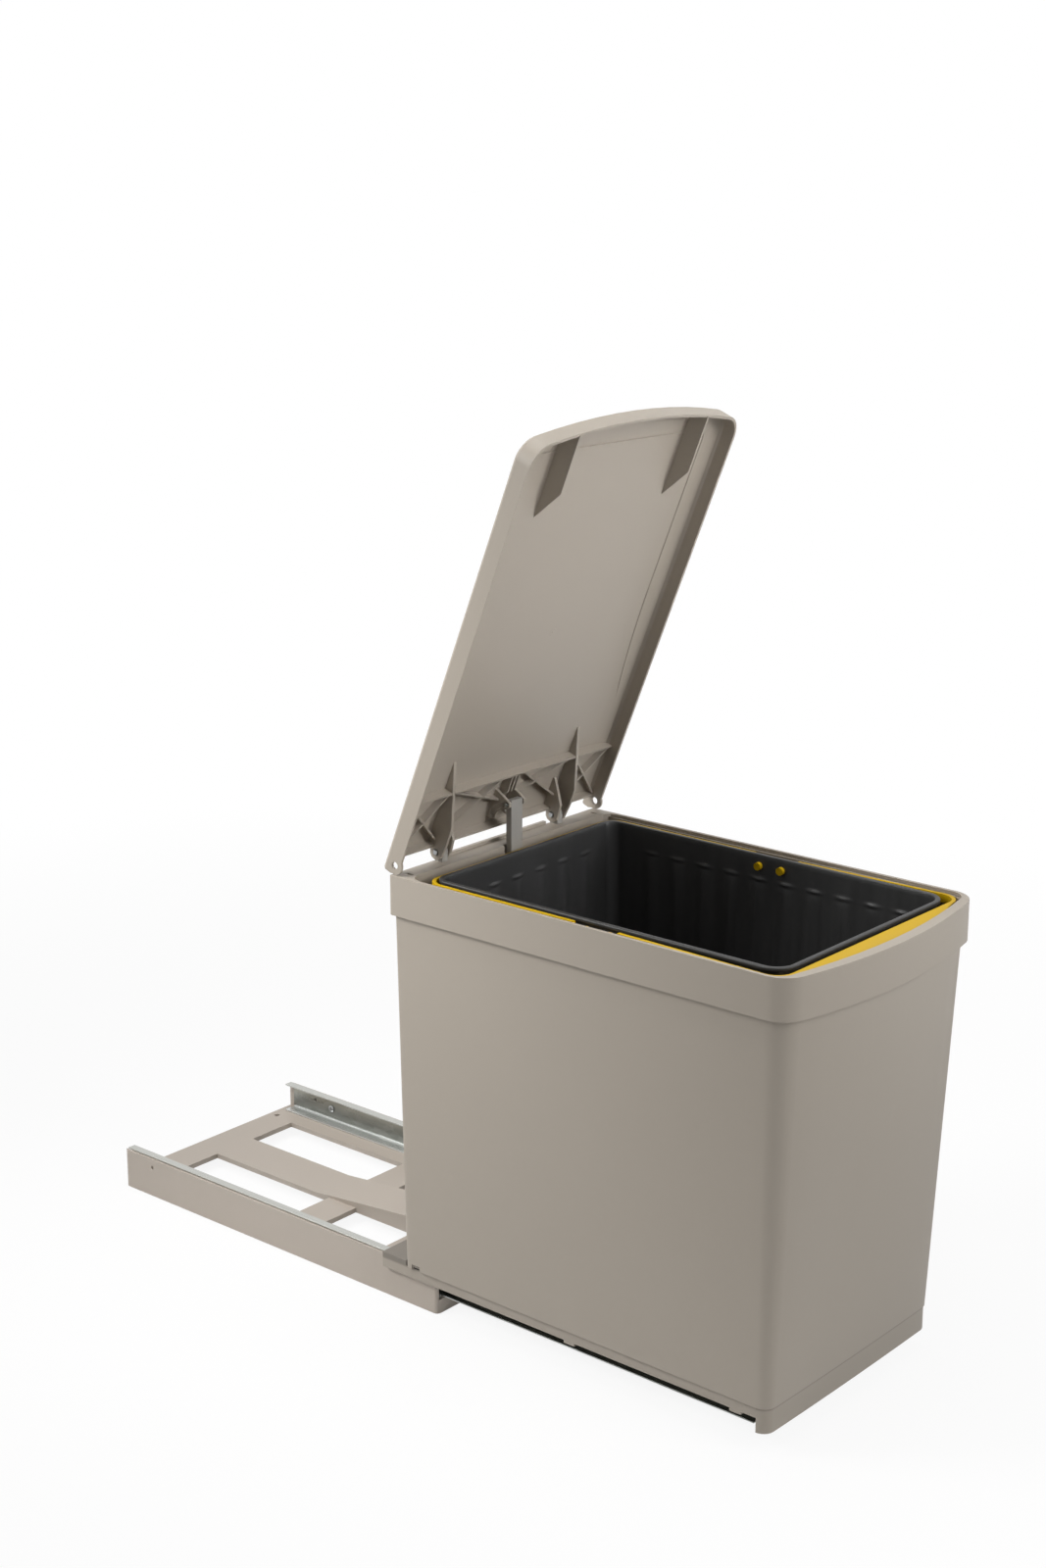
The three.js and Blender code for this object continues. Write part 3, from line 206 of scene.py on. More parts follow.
plastic = {
    "shell": linear(167, 158, 146),
    "base": linear(178, 168, 157),
    "bucket": linear(44, 44, 44),
    "bail": linear(204, 166, 22),
    "fitting": linear(160, 157, 151),
    "roller": linear(222, 220, 211),
}

moulded = {
    # sizes of the marks and of the grain, in metres
    "flow": 0.16, "spot": 0.004, "scuff": 0.012, "fine": 0.0007, "coarse": 0.0023,
    "grainDepth": 0.00006, "scuffShare": 0.1, "scuffLight": 1.15,
    # painted shadow under an overhang: from and to below the seam in metres, how much, how dark
    "shadowFrom": 0.0022, "shadowTo": 0.0004, "dustAndShadowShare": 0.62, "shadowDark": 0.3,
}


# moulded plastic: a fine spark-eroded grain, broad flow marks and a few faint scuffs;
# a piece with a seam has a line of painted shadow under it
def mouldedFinish(name, colour, rough=0.46, drift=0.025, turn=0.0, seam=None):
    g = moulded
    f = Finish(name, IOR=1.5)
    flow = f.noise(g["flow"], 2.0, (1, 1, 0.6), turn)
    spot = f.noise(g["spot"])
    scuff = f.remap(f.noise(g["scuff"], 3.0, (1, 1, 1), turn), 0.7, 0.8)
    tone = flow * 0.75 + spot * 0.25
    body = f.mix(tone, shade(colour, 1 - drift), shade(colour, 1 + drift))
    worn = f.mix(scuff * g["scuffShare"], body, shade(colour, g["scuffLight"]))
    if seam:
        # painted shadow: the band just under the seam is darkened as if the overhang shaded it
        low, high = seam - g["shadowFrom"], seam - g["shadowTo"]
        dustAndShadow = f.remap(f.height(), low, high, 0.0, g["dustAndShadowShare"])
        worn = f.mix(dustAndShadow, worn, shade(colour, g["shadowDark"]))
    grain = f.noise(g["fine"]) * 0.7 + f.noise(g["coarse"], 1.0) * 0.3
    gloss = f.remap(flow, 0.25, 0.75, rough - 0.05, rough + 0.06) - scuff * 0.06
    return f.surface(Base_Color=worn, Roughness=gloss, Normal=f.bump(grain, g["grainDepth"]))


bucketLooks = {
    "streak": 0.006, "dustAndShadow": 0.0016, "cloud": 0.09, "grain": 0.0012, "grainDepth": 0.00003,
    "dark": 0.82, "light": 1.25, "dustAndShadowShare": 0.25, "dustLight": 4, "rough": (0.42, 0.54),
}


# the bucket: smoother, with upright wiping marks and dust that has settled
def bucketFinish():
    g = bucketLooks
    f = Finish("bucketPlastic", IOR=1.5, Specular_IOR_Level=0.45)
    colour = plastic["bucket"]
    streak = f.noise(g["streak"], 3.0, (1, 1, 0.06))
    dustAndShadow = f.remap(f.noise(g["dustAndShadow"]), 0.68, 0.78)
    tone = streak * 0.5 + f.noise(g["cloud"]) * 0.5
    body = f.mix(tone, shade(colour, g["dark"]), shade(colour, g["light"]))
    dusty = f.mix(dustAndShadow * g["dustAndShadowShare"], body, shade(colour, g["dustLight"]))
    gloss = f.remap(streak, 0.3, 0.7, *g["rough"]) + dustAndShadow * 0.2
    skin = f.bump(f.noise(g["grain"]) * 0.5 + streak * 0.5, g["grainDepth"])
    return f.surface(Base_Color=dusty, Roughness=gloss, Normal=skin)


bailLooks = {
    "flow": 0.03, "nick": 0.0035, "grain": 0.0015, "grainDepth": 0.00002,
    "dark": 0.9, "light": 1.06, "nickShare": 0.35, "nickDark": 0.66, "rough": (0.3, 0.4),
}


# the bails: bright plastic with a few darker nicks
def bailFinish():
    g = bailLooks
    f = Finish("bailPlastic", IOR=1.5, Specular_IOR_Level=0.06)
    colour = plastic["bail"]
    flow = f.noise(g["flow"], 2.0, (0.4, 1, 1))
    nick = f.remap(f.noise(g["nick"], 3.0), 0.7, 0.78)
    body = f.mix(flow, shade(colour, g["dark"]), shade(colour, g["light"]))
    worn = f.mix(nick * g["nickShare"], body, shade(colour, g["nickDark"]))
    gloss = f.remap(flow, 0.3, 0.7, *g["rough"])
    skin = f.bump(f.noise(g["grain"]), g["grainDepth"])
    return f.surface(Base_Color=worn, Roughness=gloss, Normal=skin)


zinc = {
    "line": 0.0008, "crystal": 0.0045, "cloud": 0.025, "grainDepth": 0.00003,
    "light": linear(156, 156, 148), "dark": linear(126, 127, 119),
    "dull": linear(106, 106, 99), "rolled": linear(96, 96, 90), "rough": (0.24, 0.4),
    # bands up the strip: from and to in metres, share at each, colour
    "warmAbove": (0.0275, 0.0325, 0.0, 0.5, linear(172, 168, 154)),
    # painted shade: the fold low on the strip is darkened where it lies in shade
    "paintedFoldShade": (0.0225, 0.0285, 0.4, 0.0, linear(70, 76, 74)),
    # painted highlight: the top edge is lightened as if it caught the overhead lamp
    "paintedTopHighlight": (0.0352, 0.0362, 0.0, 0.5, linear(214, 216, 214)),
    # painted light: the rails' lower flange is lightened where it sits dark in shade
    "paintedFootLight": (0.0152, 0.0162, 0.8, 0.0, linear(222, 224, 222)),
    "unevenness": 0.002,
}


# zinc-plated strip: rolled lines along the length, mottled crystals, dull patches and bands, among
# them painted shade in the fold and painted highlights on the top edge and the foot
def zincFinish():
    g = zinc
    f = Finish("zincSheet", IOR=2.2)
    lines = f.noise(g["line"], 2.0, (1, 0.012, 1))
    crystal = f.cells(g["crystal"], (1, 0.5, 1))
    cloud = f.noise(g["cloud"], 3.0, (1, 0.5, 1))
    dull = f.remap(cloud, 0.52, 0.7)
    bright = f.mix(crystal, g["dark"], g["light"])
    rolled = f.mix(lines * 0.25, f.mix(dull * 0.5, bright, g["dull"]), g["rolled"])
    height = f.height() + cloud * g["unevenness"]
    # the bands paint shade into the fold and highlights onto the top edge and the foot
    for band in ("warmAbove", "paintedFoldShade", "paintedTopHighlight", "paintedFootLight"):
        low, high, first, last, colour = g[band]
        rolled = f.mix(f.remap(height, low, high, first, last), rolled, colour)
    gloss = f.remap(lines, 0.3, 0.7, *g["rough"]) + dull * 0.2
    skin = f.bump(lines, g["grainDepth"], 0.6)
    return f.surface(Base_Color=rolled, Roughness=gloss, Metallic=0.82 - dull * 0.25, Normal=skin)


steel = {"fine": 0.0006, "cloud": 0.004, "grainDepth": 0.00002, "spread": 0.15}


def steelFinish(name, light, dark, rough):
    g = steel
    f = Finish(name, IOR=2.4)
    fine = f.noise(g["fine"], 2.0, (0.3, 1, 1))
    cloud = f.noise(g["cloud"])
    body = f.mix(fine * 0.6 + cloud * 0.4, dark, light)
    gloss = f.remap(cloud, 0.3, 0.7, rough, rough + g["spread"])
    skin = f.bump(fine, g["grainDepth"], 0.6)
    return f.surface(Base_Color=body, Roughness=gloss, Metallic=0.97 - cloud * 0.1, Normal=skin)


rollerLooks = {
    "cloud": 0.008, "grime": 0.003, "grain": 0.001, "grainDepth": 0.00002,
    "dark": 0.9, "grimeShare": 0.3, "grimeColour": linear(150, 147, 138), "rough": (0.38, 0.5),
}


# the rollers: pale plastic with some grime
def rollerFinish():
    g = rollerLooks
    f = Finish("rollerPlastic", IOR=1.52)
    colour = plastic["roller"]
    cloud = f.noise(g["cloud"])
    grime = f.remap(f.noise(g["grime"], 3.0), 0.55, 0.75)
    body = f.mix(cloud, shade(colour, g["dark"]), colour)
    used = f.mix(grime * g["grimeShare"], body, g["grimeColour"])
    gloss = f.remap(cloud, 0.3, 0.7, *g["rough"])
    skin = f.bump(f.noise(g["grain"]), g["grainDepth"])
    return f.surface(Base_Color=used, Roughness=gloss, Normal=skin)


housingSeam = 0.0352  # height of the housing's lower edge, in metres


def makeFinishes():
    lidTurn = math.radians(lidMarks["open"])
    return {
        "shell_plastic": mouldedFinish("shellPlastic", plastic["shell"]),
        # the tray carries a painted shadow under the housing's lower edge
        "tray": mouldedFinish("trayPlastic", shade(plastic["shell"], 0.96), seam=housingSeam),
        "lid": mouldedFinish("lidPlastic", plastic["shell"], turn=lidTurn),
        "base_plastic": mouldedFinish("basePlastic", plastic["base"], 0.44),
        "bucket_plastic": bucketFinish(),
        "bail_plastic": bailFinish(),
        "fitting_plastic": mouldedFinish("fittingPlastic", plastic["fitting"], 0.4, drift=0.04),
        "zinc_sheet": zincFinish(),
        "screw_steel": steelFinish(
            "screwSteel", linear(190, 192, 192), linear(120, 122, 122), 0.28),
        "pin_steel": steelFinish(
            "pinSteel", linear(186, 188, 188), linear(132, 134, 134), 0.22),
        "roller_plastic": rollerFinish(),
    }


# a mesh from a grid of points [row, column]: columns run round, rows run along
def gridPiece(name, points, closedRows=False, capFirst=False, capLast=False):
    rows, columns = points.shape[:2]
    index = np.arange(rows * columns).reshape(rows, columns)
    here = index if closedRows else index[:-1]
    above = np.roll(index, -1, 0) if closedRows else index[1:]
    quads = np.stack([here, np.roll(here, -1, 1), np.roll(above, -1, 1), above], -1).reshape(-1, 4)
    faces = quads.tolist()
    if capFirst:
        faces.append(index[0, ::-1].tolist())
    if capLast:
        faces.append(index[-1].tolist())
    mesh = bpy.data.meshes.new(name)
    mesh.from_pydata(points.reshape(-1, 3).tolist(), [], faces)
    mesh.shade_smooth()
    piece = bpy.data.objects.new(name, mesh)
    bpy.context.scene.collection.objects.link(piece)
    return piece


# outline seen from above, evenly spaced: four straight sides with round corners
def outline(half, rear, front, rearRadius, frontRadius, count):
    def corner(x, y, radius, start):
        t = np.radians(np.linspace(start, start + 90, 25))
        return np.c_[x + radius * np.cos(t), y + radius * np.sin(t)]

    x = np.linspace(-half + frontRadius, half - frontRadius, 40)[1:-1]
    ring = np.vstack([
        corner(half - rearRadius, rear - rearRadius, rearRadius, 0),
        corner(-half + rearRadius, rear - rearRadius, rearRadius, 90),
        corner(-half + frontRadius, front + frontRadius, frontRadius, 180),
        np.c_[x, np.full_like(x, front)],
        corner(half - frontRadius, front + frontRadius, frontRadius, 270),
    ])
    closed = np.vstack([ring, ring[:1]])
    along = np.r_[0, np.cumsum(np.hypot(*np.diff(closed, axis=0).T))]
    at = np.linspace(0, along[-1], count, endpoint=False)
    return np.c_[np.interp(at, along, closed[:, 0]), np.interp(at, along, closed[:, 1])]


# a [radius, distance] profile turned about an axis along X through (y, z)
def turned(name, profile, x, y, z, side=1, count=64):
    radius, along = np.array(profile, float).T
    t = np.linspace(0, 2 * np.pi, count, endpoint=False)
    points = np.empty((len(radius), count, 3))
    points[..., 0] = (x + side * along)[:, None]
    points[..., 1] = y + radius[:, None] * np.cos(t)
    points[..., 2] = z + radius[:, None] * np.sin(t)
    piece = gridPiece(name, points * mm, closedRows=True)
    outward(piece)
    return piece


# doubles merged and faces turned outwards, on a closed shell
def outward(piece):
    shell = bmesh.new()
    shell.from_mesh(piece.data)
    bmesh.ops.remove_doubles(shell, verts=shell.verts, dist=1e-6)
    bmesh.ops.recalc_face_normals(shell, faces=shell.faces)
    shell.to_mesh(piece.data)
    shell.free()


def creased(piece, angle=40):
    piece.data.shade_smooth()
    piece.data.set_sharp_from_angle(angle=math.radians(angle))


# gives a piece its finish and its body, and hides the nodes it stands for
def dress(piece, finish, body, *replaced, slot=None):
    piece.data.materials.clear()
    piece.data.materials.append(finishes[finish])
    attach(piece, body)
    if replaced:
        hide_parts(*replaced)
    return piece


# a CAD node as one merged shell with its edges rounded; it takes the node's place
def softened(node, finish, width, segments=2, angle=30, slot=None, even=True):
    mesh = nodes[node].data.copy()
    shell = bmesh.new()
    shell.from_mesh(mesh)
    bmesh.ops.remove_doubles(shell, verts=shell.verts, dist=1e-5)
    flat = math.radians(0.05)
    bmesh.ops.dissolve_limit(shell, angle_limit=flat, verts=shell.verts, edges=shell.edges)
    shell.to_mesh(mesh)
    shell.free()
    if mesh.has_custom_normals:
        mesh.attributes.remove(mesh.attributes["custom_normal"])
    piece = bpy.data.objects.new(node + "_soft", mesh)
    bpy.context.scene.collection.objects.link(piece)
    creased(piece, angle)
    bevel = piece.modifiers.new("edges", "BEVEL")
    bevel.width = width * mm
    bevel.segments = segments
    bevel.limit_method = "ANGLE"
    bevel.angle_limit = math.radians(angle)
    bevel.use_clamp_overlap = True
    if even:
        weighted = piece.modifiers.new("even", "WEIGHTED_NORMAL")
        weighted.keep_sharp = True
    return dress(piece, finish, bodyOfNode[node], node, slot=slot)


edgeRounding = {
    # node: finish, width in millimetres, segments
    "base_frame": ("base_plastic", 0.5, 2),
    "carriage_tray": ("tray", 0.5, 2),
    "bin_housing": ("shell_plastic", 0.6, 3),
    "top_frame": ("shell_plastic", 0.8, 3),
    "lid": ("lid", 0.5, 2),
    "front_bail": ("bail_plastic", 0.7, 3),
    "rear_bail": ("bail_plastic", 0.7, 3),
    "hinge_post_left": ("fitting_plastic", 0.4, 2),
    "hinge_post_right": ("fitting_plastic", 0.4, 2),
    "rod_guide": ("fitting_plastic", 0.5, 2),
    "lift_rod": ("fitting_plastic", 0.5, 2),
    "runner_left": ("zinc_sheet", 0.25, 2),
    "runner_right": ("zinc_sheet", 0.25, 2),
    "rail_left": ("zinc_sheet", 0.25, 2),
    "rail_right": ("zinc_sheet", 0.25, 2),
}


bowed = ("bin_housing", "top_frame", "carriage_tray")  # smooth all round the bow


def makeShells():
    for node, (finish, width, segments) in edgeRounding.items():
        slot = "shell_plastic" if finish in ("lid", "tray") else None
        softened(node, finish, width, segments, slot=slot, even=node not in bowed)


lidMarks = {
    "hinge": (-163.6, 372.0), "open": 68, "under": 10.3,
    "half": 102.5, "flare": 10.5, "flareFrom": -200.0, "rear": -86.0, "front": -338.0, "corner": 9,
    "width": 0.8, "height": 0.8, "sunk": 0.15,
    "gate": (-5.0, -178.0),
    # gate mark's profile: radius and height over the lid's underside
    "gateProfile": [(0.05, 0.3), (0.4, 0.3), (0.8, 0.26), (1.0, 0.12), (1.3, 0.06), (2.4, 0.06),
                    (2.9, 0.14), (3.2, 0.1), (3.4, 0.0), (3.4, -0.15)],
}


# points given across the lid, along it from its axis and out from its underside, put in the
# raised lid's place: a turn by the opening angle about the axis
def onLid(across, along, out):
    g = lidMarks
    angle = math.radians(g["open"])
    up = g["under"] - out
    y = g["hinge"][0] + along * math.cos(angle) + up * math.sin(angle)
    z = g["hinge"][1] - along * math.sin(angle) + up * math.cos(angle)
    return np.stack(np.broadcast_arrays(across, y, z), -1) * mm


# a thin bead along a path: sides that spread towards the hinge, round corners and a straight front
def makeLidMarks():
    g = lidMarks
    down = np.linspace(g["rear"], g["front"] + g["corner"], 60)
    flared = np.clip((down - g["flareFrom"]) / (g["rear"] - g["flareFrom"]), 0, 1)
    spread = g["half"] + g["flare"] * flared ** 2
    t = np.radians(np.linspace(0, 90, 12))[1:-1]
    bend = np.c_[g["half"] - g["corner"] * (1 - np.cos(t)),
                 g["front"] + g["corner"] * (1 - np.sin(t))]
    flat = np.linspace(g["half"] - g["corner"], 0, 20)
    right = np.vstack([np.c_[spread, down], bend, np.c_[flat, np.full_like(flat, g["front"])]])
    path = np.vstack([right, (right * [-1, 1])[::-1][1:]])
    along = np.gradient(path, axis=0)
    along /= np.hypot(*along.T)[:, None]
    side = np.c_[-along[:, 1], along[:, 0]]
    top, sunk = g["height"], -g["sunk"]
    section = np.array([[-1, sunk], [-1, 0], [-0.25, top], [0.25, top], [1, 0], [1, sunk]])
    spots = path[:, None] + side[:, None] * (section[:, 0] * g["width"])[None, :, None]
    points = onLid(spots[..., 0], spots[..., 1], section[:, 1][None])
    piece = gridPiece("lidStepLine", points, capFirst=True, capLast=True)
    outward(piece)
    dress(piece, "lid", "lid", slot="shell_plastic")
    creased(piece, 40)

    radii, out = np.array(g["gateProfile"]).T
    turn = np.linspace(0, 2 * np.pi, 40, endpoint=False)
    across = g["gate"][0] + radii[:, None] * np.cos(turn)
    run = g["gate"][1] + radii[:, None] * np.sin(turn)
    piece = gridPiece("lidGateMark", onLid(across, run, out[:, None]), capFirst=True, capLast=True)
    outward(piece)
    dress(piece, "lid", "lid", slot="shell_plastic")
    creased(piece, 40)


bucket = {
    "halfTop": 106, "rearTop": -34, "frontTop": -347.5,
    "halfBottom": 92, "rearBottom": -49, "frontBottom": -327,
    "floor": 41.6, "rim": 364.0, "frontRadius": 16, "rearRadius": 11, "wall": 2, "lip": 2,
    "bend": 5, "columns": 900,
    # small bumps in a row under the rim, and the faint ribs below them
    "bumpZ": 344.5, "bumpHeight": 1.0, "bumpHalfTall": 1.5, "bumpHalfLong": 5.6,
    "ribHeight": 0.9, "ribFade": 6,
    "bumpsRear": [14.0 + 28.0 * k for k in range(3)],
    "bumpsSide": [-77.1 - 26.3 * k for k in range(10)],
}


# the wall's outline at a height, drawn in by an inset: straight taper from floor to rim
def bucketRing(z, inset):
    b = bucket
    share = (z - b["floor"]) / (b["rim"] - b["floor"])
    part = lambda low, high: low + (high - low) * share
    return outline(
        part(b["halfBottom"], b["halfTop"]) - inset,
        part(b["rearBottom"], b["rearTop"]) - inset,
        part(b["frontBottom"], b["frontTop"]) + inset,
        b["rearRadius"] - inset, b["frontRadius"] - inset, b["columns"])


# how far the inside stands proud at each column: a bell round each bump's middle, along the
# wall that the bump is on
def bumpRow(ring):
    b = bucket
    onSide = (np.abs(ring[:, 0]) > b["halfTop"] - 8)
    middles = np.array(b["bumpsSide"])
    across = np.array(b["bumpsRear"] + [-x for x in b["bumpsRear"]])
    bell = lambda at, places: np.exp(-((at[:, None] - places) / b["bumpHalfLong"]) ** 2).sum(1)
    return np.where(onSide, bell(ring[:, 1], middles), bell(ring[:, 0], across))


# rows run from the floor's underside up the outside, over the rim and down the inside
def makeBucket():
    b = bucket
    floor, rim, wall, lip = b["floor"], b["rim"], b["wall"], b["lip"]
    count, bend = b["columns"], b["bend"]
    turn = np.radians(np.linspace(0, 90, 6))
    foot = [(bend - bend * np.sin(t), floor + bend - bend * np.cos(t)) for t in turn]
    bead = [(0.2, rim - 3), (-lip + 0.5, rim - 3), (-lip + 0.1, rim - 2.8), (-lip, rim - 2.4),
            (-lip, rim - 0.7), (-lip + 0.25, rim - 0.2), (-lip + 0.8, rim), (wall - 0.7, rim),
            (wall - 0.2, rim - 0.2), (wall, rim - 0.8)]
    bumpRows = b["bumpZ"] + np.linspace(4.5, -4.5, 13)
    heights = np.r_[rim - 4, rim - 9, rim - 13, bumpRows, b["bumpZ"] - 8]
    inside = [(wall, z) for z in np.r_[heights, np.linspace(b["bumpZ"] - 20, floor + wall + 12, 9)]]
    heel = [(wall + bend - bend * np.cos(t), floor + wall + bend - bend * np.sin(t)) for t in turn]
    rows = foot + [(0, floor + 60), (0, rim - 60), (0, rim - 3.1)] + bead + inside + heel
    firstInside = len(foot) + 3 + len(bead)
    row = bumpRow(bucketRing(rim, wall))
    points = np.empty((len(rows), count, 3))
    for k, (inset, z) in enumerate(rows):
        ring = bucketRing(z, inset)
        if firstInside <= k < len(rows) - len(heel):
            bump = b["bumpHeight"] * np.exp(-((z - b["bumpZ"]) / b["bumpHalfTall"]) ** 2)
            rib = b["ribHeight"] * np.clip((b["bumpZ"] - z) / b["ribFade"], 0, 1)
            ring = ring + (row * (bump + rib))[:, None] * ringInward(ring)
        points[k, :, 0] = ring[:, 0]
        points[k, :, 1] = ring[:, 1] + carriageY
        points[k, :, 2] = z
    piece = gridPiece("bucketShell", points * mm, capFirst=True, capLast=True)
    dress(piece, "bucket_plastic", "bucket", "inner_bucket")
    creased(piece, 50)


# unit vectors square to the outline, pointing inwards
def ringInward(ring):
    along = np.roll(ring, -1, 0) - np.roll(ring, 1, 0)
    inward = np.c_[-along[:, 1], along[:, 0]]
    return inward / np.hypot(*inward.T)[:, None]


rollers = {
    # y and z of the axis, x of the near face; a pair is mirrored
    "front_roller": {
        "radius": 4.7, "width": 8.3, "bore": 2.4, "y": -175.0, "z": 20.5, "inner": 87.7},
    "rear_roller": {
        "radius": 10.15, "width": 8.0, "bore": 2.4, "y": -136.6, "z": 23.95, "inner": 86.5},
    "foot_roller": {
        "radius": 6.0, "width": 7.0, "bore": 2.3, "y": -178.4, "z": 39.3, "inner": -3.5},
}


# flat tread with round shoulders, a dished face and a raised hub
def rollerProfile(r):
    radius, width, bore = r["radius"], r["width"], r["bore"]
    hub = bore + (radius - bore) * 0.35
    dish = 1.1 if radius > 8 else 0.5
    edge = min(0.8, radius / 6)
    face = [(bore, 0.1), (hub - 0.2, 0.1), (hub, 0.3), (hub + 0.2, dish), (radius - 2 * edge, dish),
            (radius - 1.6 * edge, 0.1), (radius - edge, 0)]
    tread = [(radius - edge * 0.3, edge * 0.3), (radius, edge), (radius, width - edge),
             (radius - edge * 0.3, width - edge * 0.3)]
    return face + tread + [(q, width - d) for q, d in reversed(face)]


def makeRollers():
    for which, r in rollers.items():
        sides = [("", 1)] if which == "foot_roller" else [("_left", -1), ("_right", 1)]
        for name, side in sides:
            node = which + name
            start = side * r["inner"]
            piece = turned(node + "_turned", rollerProfile(r), start, r["y"], r["z"], side)
            dress(piece, "roller_plastic", bodyOfNode[node], node)
            creased(piece, 35)


pins = {
    # all in millimetres; a screw's tall is its head's height
    "rivet": {"radius": 2.0, "head": 3.2, "thick": 0.9, "edge": 0.25, "chamfer": 0.3},
    "plain": {"chamfer": 0.35},
    "screw": {"head": 3.2, "tall": 1.1, "shank": 1.7, "recess": 0.6, "arm": 1.9, "slot": 0.42},
}


# a plain pin with chamfered, slightly domed ends: radius against distance from one end
def plainPin(radius, length):
    c = pins["plain"]["chamfer"]
    return [(0, -0.02), (radius * 0.5, 0.0), (radius - c, 0.02), (radius, c + 0.02),
            (radius, length - c - 0.02), (radius - c, length - 0.02), (radius * 0.5, length),
            (0, length)]


# a rivet: shank, then a domed head at the far end
def rivetPin(length):
    r = pins["rivet"]
    shank = length - r["thick"]
    t = np.radians(np.linspace(0, 90, 6))
    rise = r["thick"] - r["edge"]
    dome = [(r["head"] * math.cos(q) ** 0.6, shank + r["edge"] + rise * math.sin(q))
            for q in t[:-1]]
    return [(0, 0), (r["radius"] - r["chamfer"], 0), (r["radius"], r["chamfer"]),
            (r["radius"], shank), (r["head"] - 0.1, shank), (r["head"], shank + 0.1)
            ] + dome + [(0, length)]


def makePins():
    for node in ("cross_pin", "foot_axle", "hinge_pin_left", "hinge_pin_right"):
        low, high = np.array(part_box(node)) / mm
        radius = (high[1] - low[1]) / 2
        axis = ((low + high) / 2)[1:]
        profile = plainPin(radius, high[0] - low[0])
        piece = turned(node + "_turned", profile, low[0], *axis, 1, 40)
        dress(piece, "pin_steel", bodyOfNode[node], node, slot=slotOfNode[node])
        creased(piece, 35)
    for which, facing in (("front_axle", -1), ("rear_axle", 1)):
        for name, side in (("_left", -1), ("_right", 1)):
            node = which + name
            low, high = np.array(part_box(node)) / mm
            near, far = sorted((abs(low[0]), abs(high[0])))
            start = side * (far if facing < 0 else near)
            axis = ((low + high) / 2)[1:]
            piece = turned(node + "_turned", rivetPin(far - near), start, *axis, side * facing, 40)
            dress(piece, "pin_steel", bodyOfNode[node], node, slot=slotOfNode[node])
            creased(piece, 35)


# a pan head with a cross recess: height over the polar grid is a dome less the recess,
# where the recess is the union of two bars with soft walls; the shank is a plain cylinder behind it
def makeScrews():
    c = pins["screw"]
    count = 64
    t = np.linspace(0, 2 * np.pi, count, endpoint=False)
    names = [name for name in nodes if "_screw_" in name]
    for node in names:
        low, high = np.array(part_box(node)) / mm
        side = -1 if "_left_" in node else 1
        near, far = sorted((abs(low[0]), abs(high[0])))
        middle = (low + high) / 2
        face = np.r_[0.05, np.linspace(0.2, 2.4, 12), np.linspace(2.6, c["head"], 5)]
        radii = np.r_[face, c["head"], c["head"] - 0.05, c["shank"], c["shank"], 0.9]
        y = radii[:, None] * np.cos(t)
        z = radii[:, None] * np.sin(t)
        dome = 0.55 * (radii / c["head"]) ** 3
        soft = lambda d: np.clip((c["slot"] - np.abs(d)) / 0.12, 0, 1)
        reach = np.clip((c["arm"] - radii[:, None]) / 0.2, 0, 1)
        recess = c["recess"] * np.maximum(soft(y), soft(z)) * reach
        depth = dome[:, None] + recess
        depth[-5:] = np.array([0.8, c["tall"], c["tall"], far - near - 0.7, far - near])[:, None]
        points = np.empty((len(radii), count, 3))
        points[..., 0] = side * (near + depth)
        points[..., 1] = middle[1] + y
        points[..., 2] = middle[2] + z
        piece = gridPiece(node + "_turned", points * mm, capFirst=True, capLast=True)
        outward(piece)
        dress(piece, "screw_steel", bodyOfNode[node], node, slot=slotOfNode[node])
        creased(piece, 35)
    return names


def dressRest():
    for name, node in nodes.items():
        node.data.materials.clear()
        node.data.materials.append(finishes[slotOfNode[name]])


seenRays = ("Is Camera Ray", "Is Glossy Ray", "Is Transmission Ray")
floorLooks = {
    "half": 30.0, "down": 0.0004, "albedo": 0.9, "whiteNear": 0.9, "fadeFrom": 0.4, "fadeTo": 1.3,
}


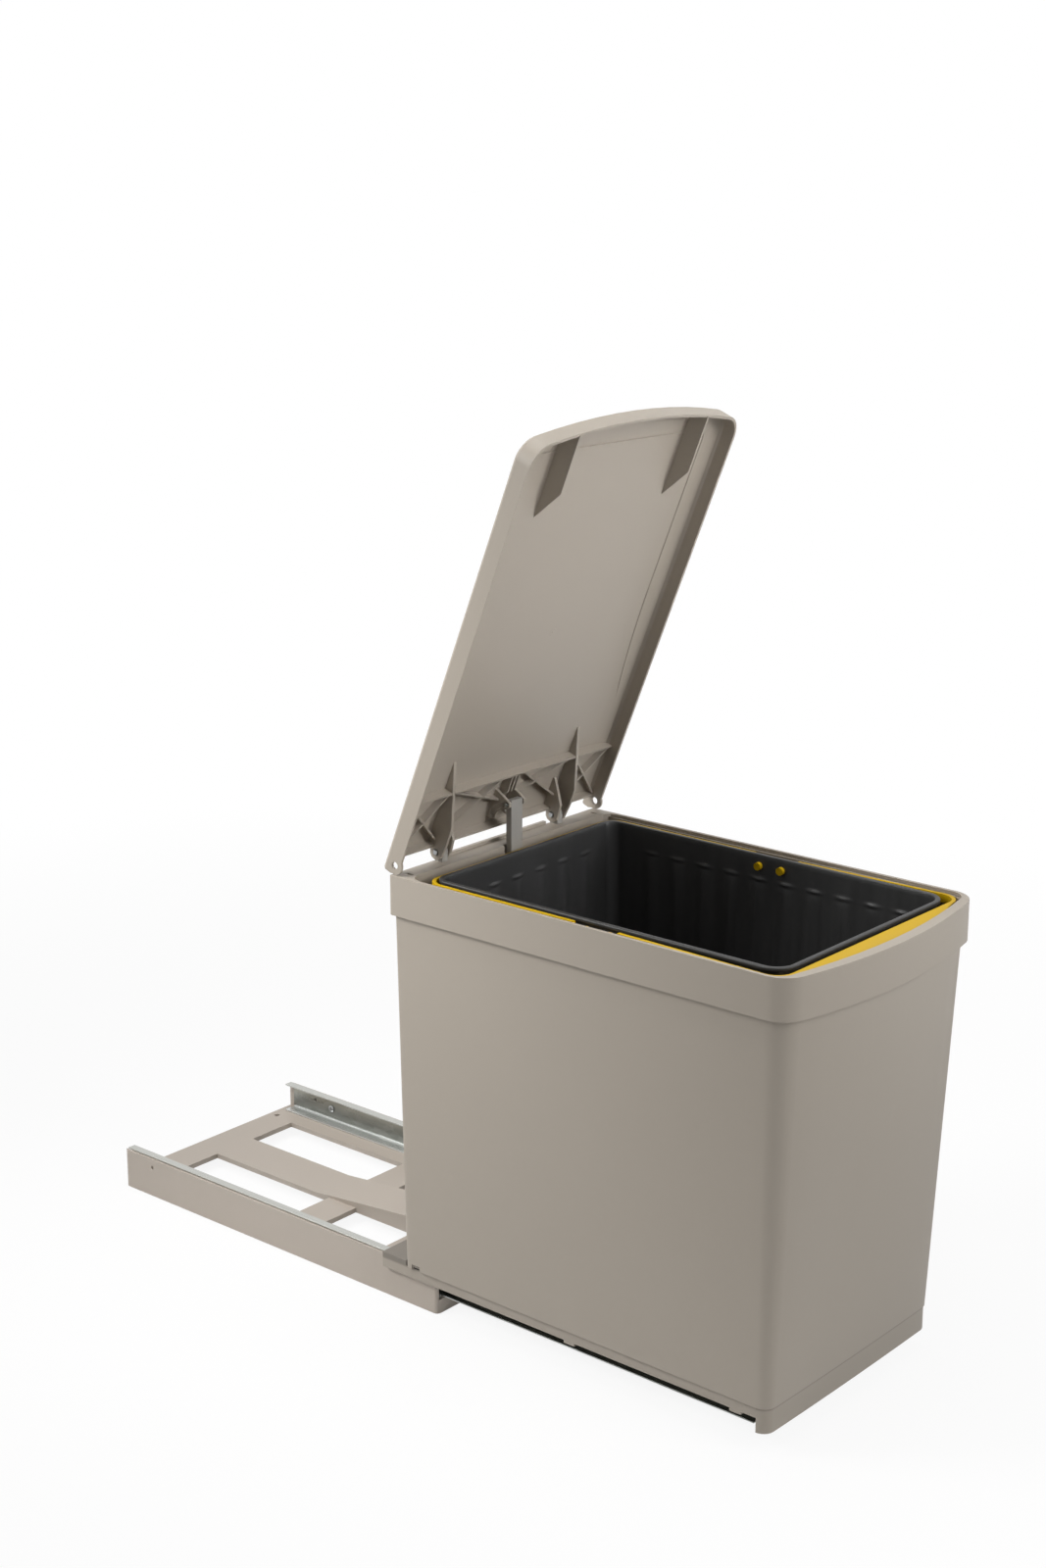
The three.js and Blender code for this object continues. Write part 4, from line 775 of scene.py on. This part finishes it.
# a wide pale floor: seen directly or in a gloss it is nearly white, and it keeps a soft shadow
# near the bin
def makeFloor():
    g = floorLooks
    f = Finish("paleFloor", Roughness=0.9)
    f.shader.inputs["Base Color"].default_value = (g["albedo"], g["albedo"], g["albedo"], 1)
    camera, glossy, clear = (f.node("ShaderNodeLightPath", out=ray) for ray in seenRays)
    seen = camera.through("MAXIMUM", camera.through("MAXIMUM", camera, glossy), clear)
    here = f.node("ShaderNodeTexCoord", out="Object")
    away = f.node("ShaderNodeVectorMath", {"operation": "LENGTH"}, {0: here}, out="Value")
    share = f.remap(away, g["fadeFrom"], g["fadeTo"], g["whiteNear"], 1.0)
    glow = f.node("ShaderNodeEmission", {}, {"Color": (1, 1, 1, 1), "Strength": 1.0})
    base = Wire(f, f.shader.outputs["BSDF"])
    mixed = f.node("ShaderNodeMixShader", {}, {0: seen * share, 1: base, 2: glow})
    f.tree.links.new(mixed.socket, f.tree.nodes["Material Output"].inputs["Surface"])
    half = g["half"]
    mesh = bpy.data.meshes.new("floor")
    square = ((-half, -half), (half, -half), (half, half), (-half, half))
    corners = [(x, y, -g["down"]) for x, y in square]
    mesh.from_pydata(corners, [], [(0, 1, 2, 3)])
    floor = bpy.data.objects.new("floor", mesh)
    bpy.context.scene.collection.objects.link(floor)
    mesh.materials.append(f.material)


worldLooks = {"shade": 0.13, "seen": 1.0}


# the world is white where it is seen and lights the shade softly
def makeWorld():
    world = bpy.data.worlds.new("paleWorld")
    bpy.context.scene.world = world
    world.use_nodes = True
    tree = world.node_tree
    back = tree.nodes["Background"]
    path = tree.nodes.new("ShaderNodeLightPath")
    seen = path.outputs[seenRays[0]]
    for ray in seenRays[1:]:
        either = tree.nodes.new("ShaderNodeMath")
        either.operation = "MAXIMUM"
        tree.links.new(seen, either.inputs[0])
        tree.links.new(path.outputs[ray], either.inputs[1])
        seen = either.outputs[0]
    level = tree.nodes.new("ShaderNodeMapRange")
    level.inputs["To Min"].default_value = worldLooks["shade"]
    level.inputs["To Max"].default_value = worldLooks["seen"]
    tree.links.new(seen, level.inputs["Value"])
    tree.links.new(level.outputs[0], back.inputs["Strength"])
    back.inputs["Color"].default_value = (1, 1, 1, 1)
    bpy.context.scene.view_settings.view_transform = "Standard"


makeCamera()
makeLights()
print("camera and lights placed")
finishes = makeFinishes()
print("finishes mixed:", len(finishes))
makeShells()
print("shells rounded:", len(edgeRounding))
makeLidMarks()
print("lid marked")
makeBucket()
print("bucket made")
makeRollers()
print("rollers turned")
makePins()
print("pins and rivets turned")
print("screws made:", len(makeScrews()))
dressRest()
makeFloor()
makeWorld()
print("floor and world laid")
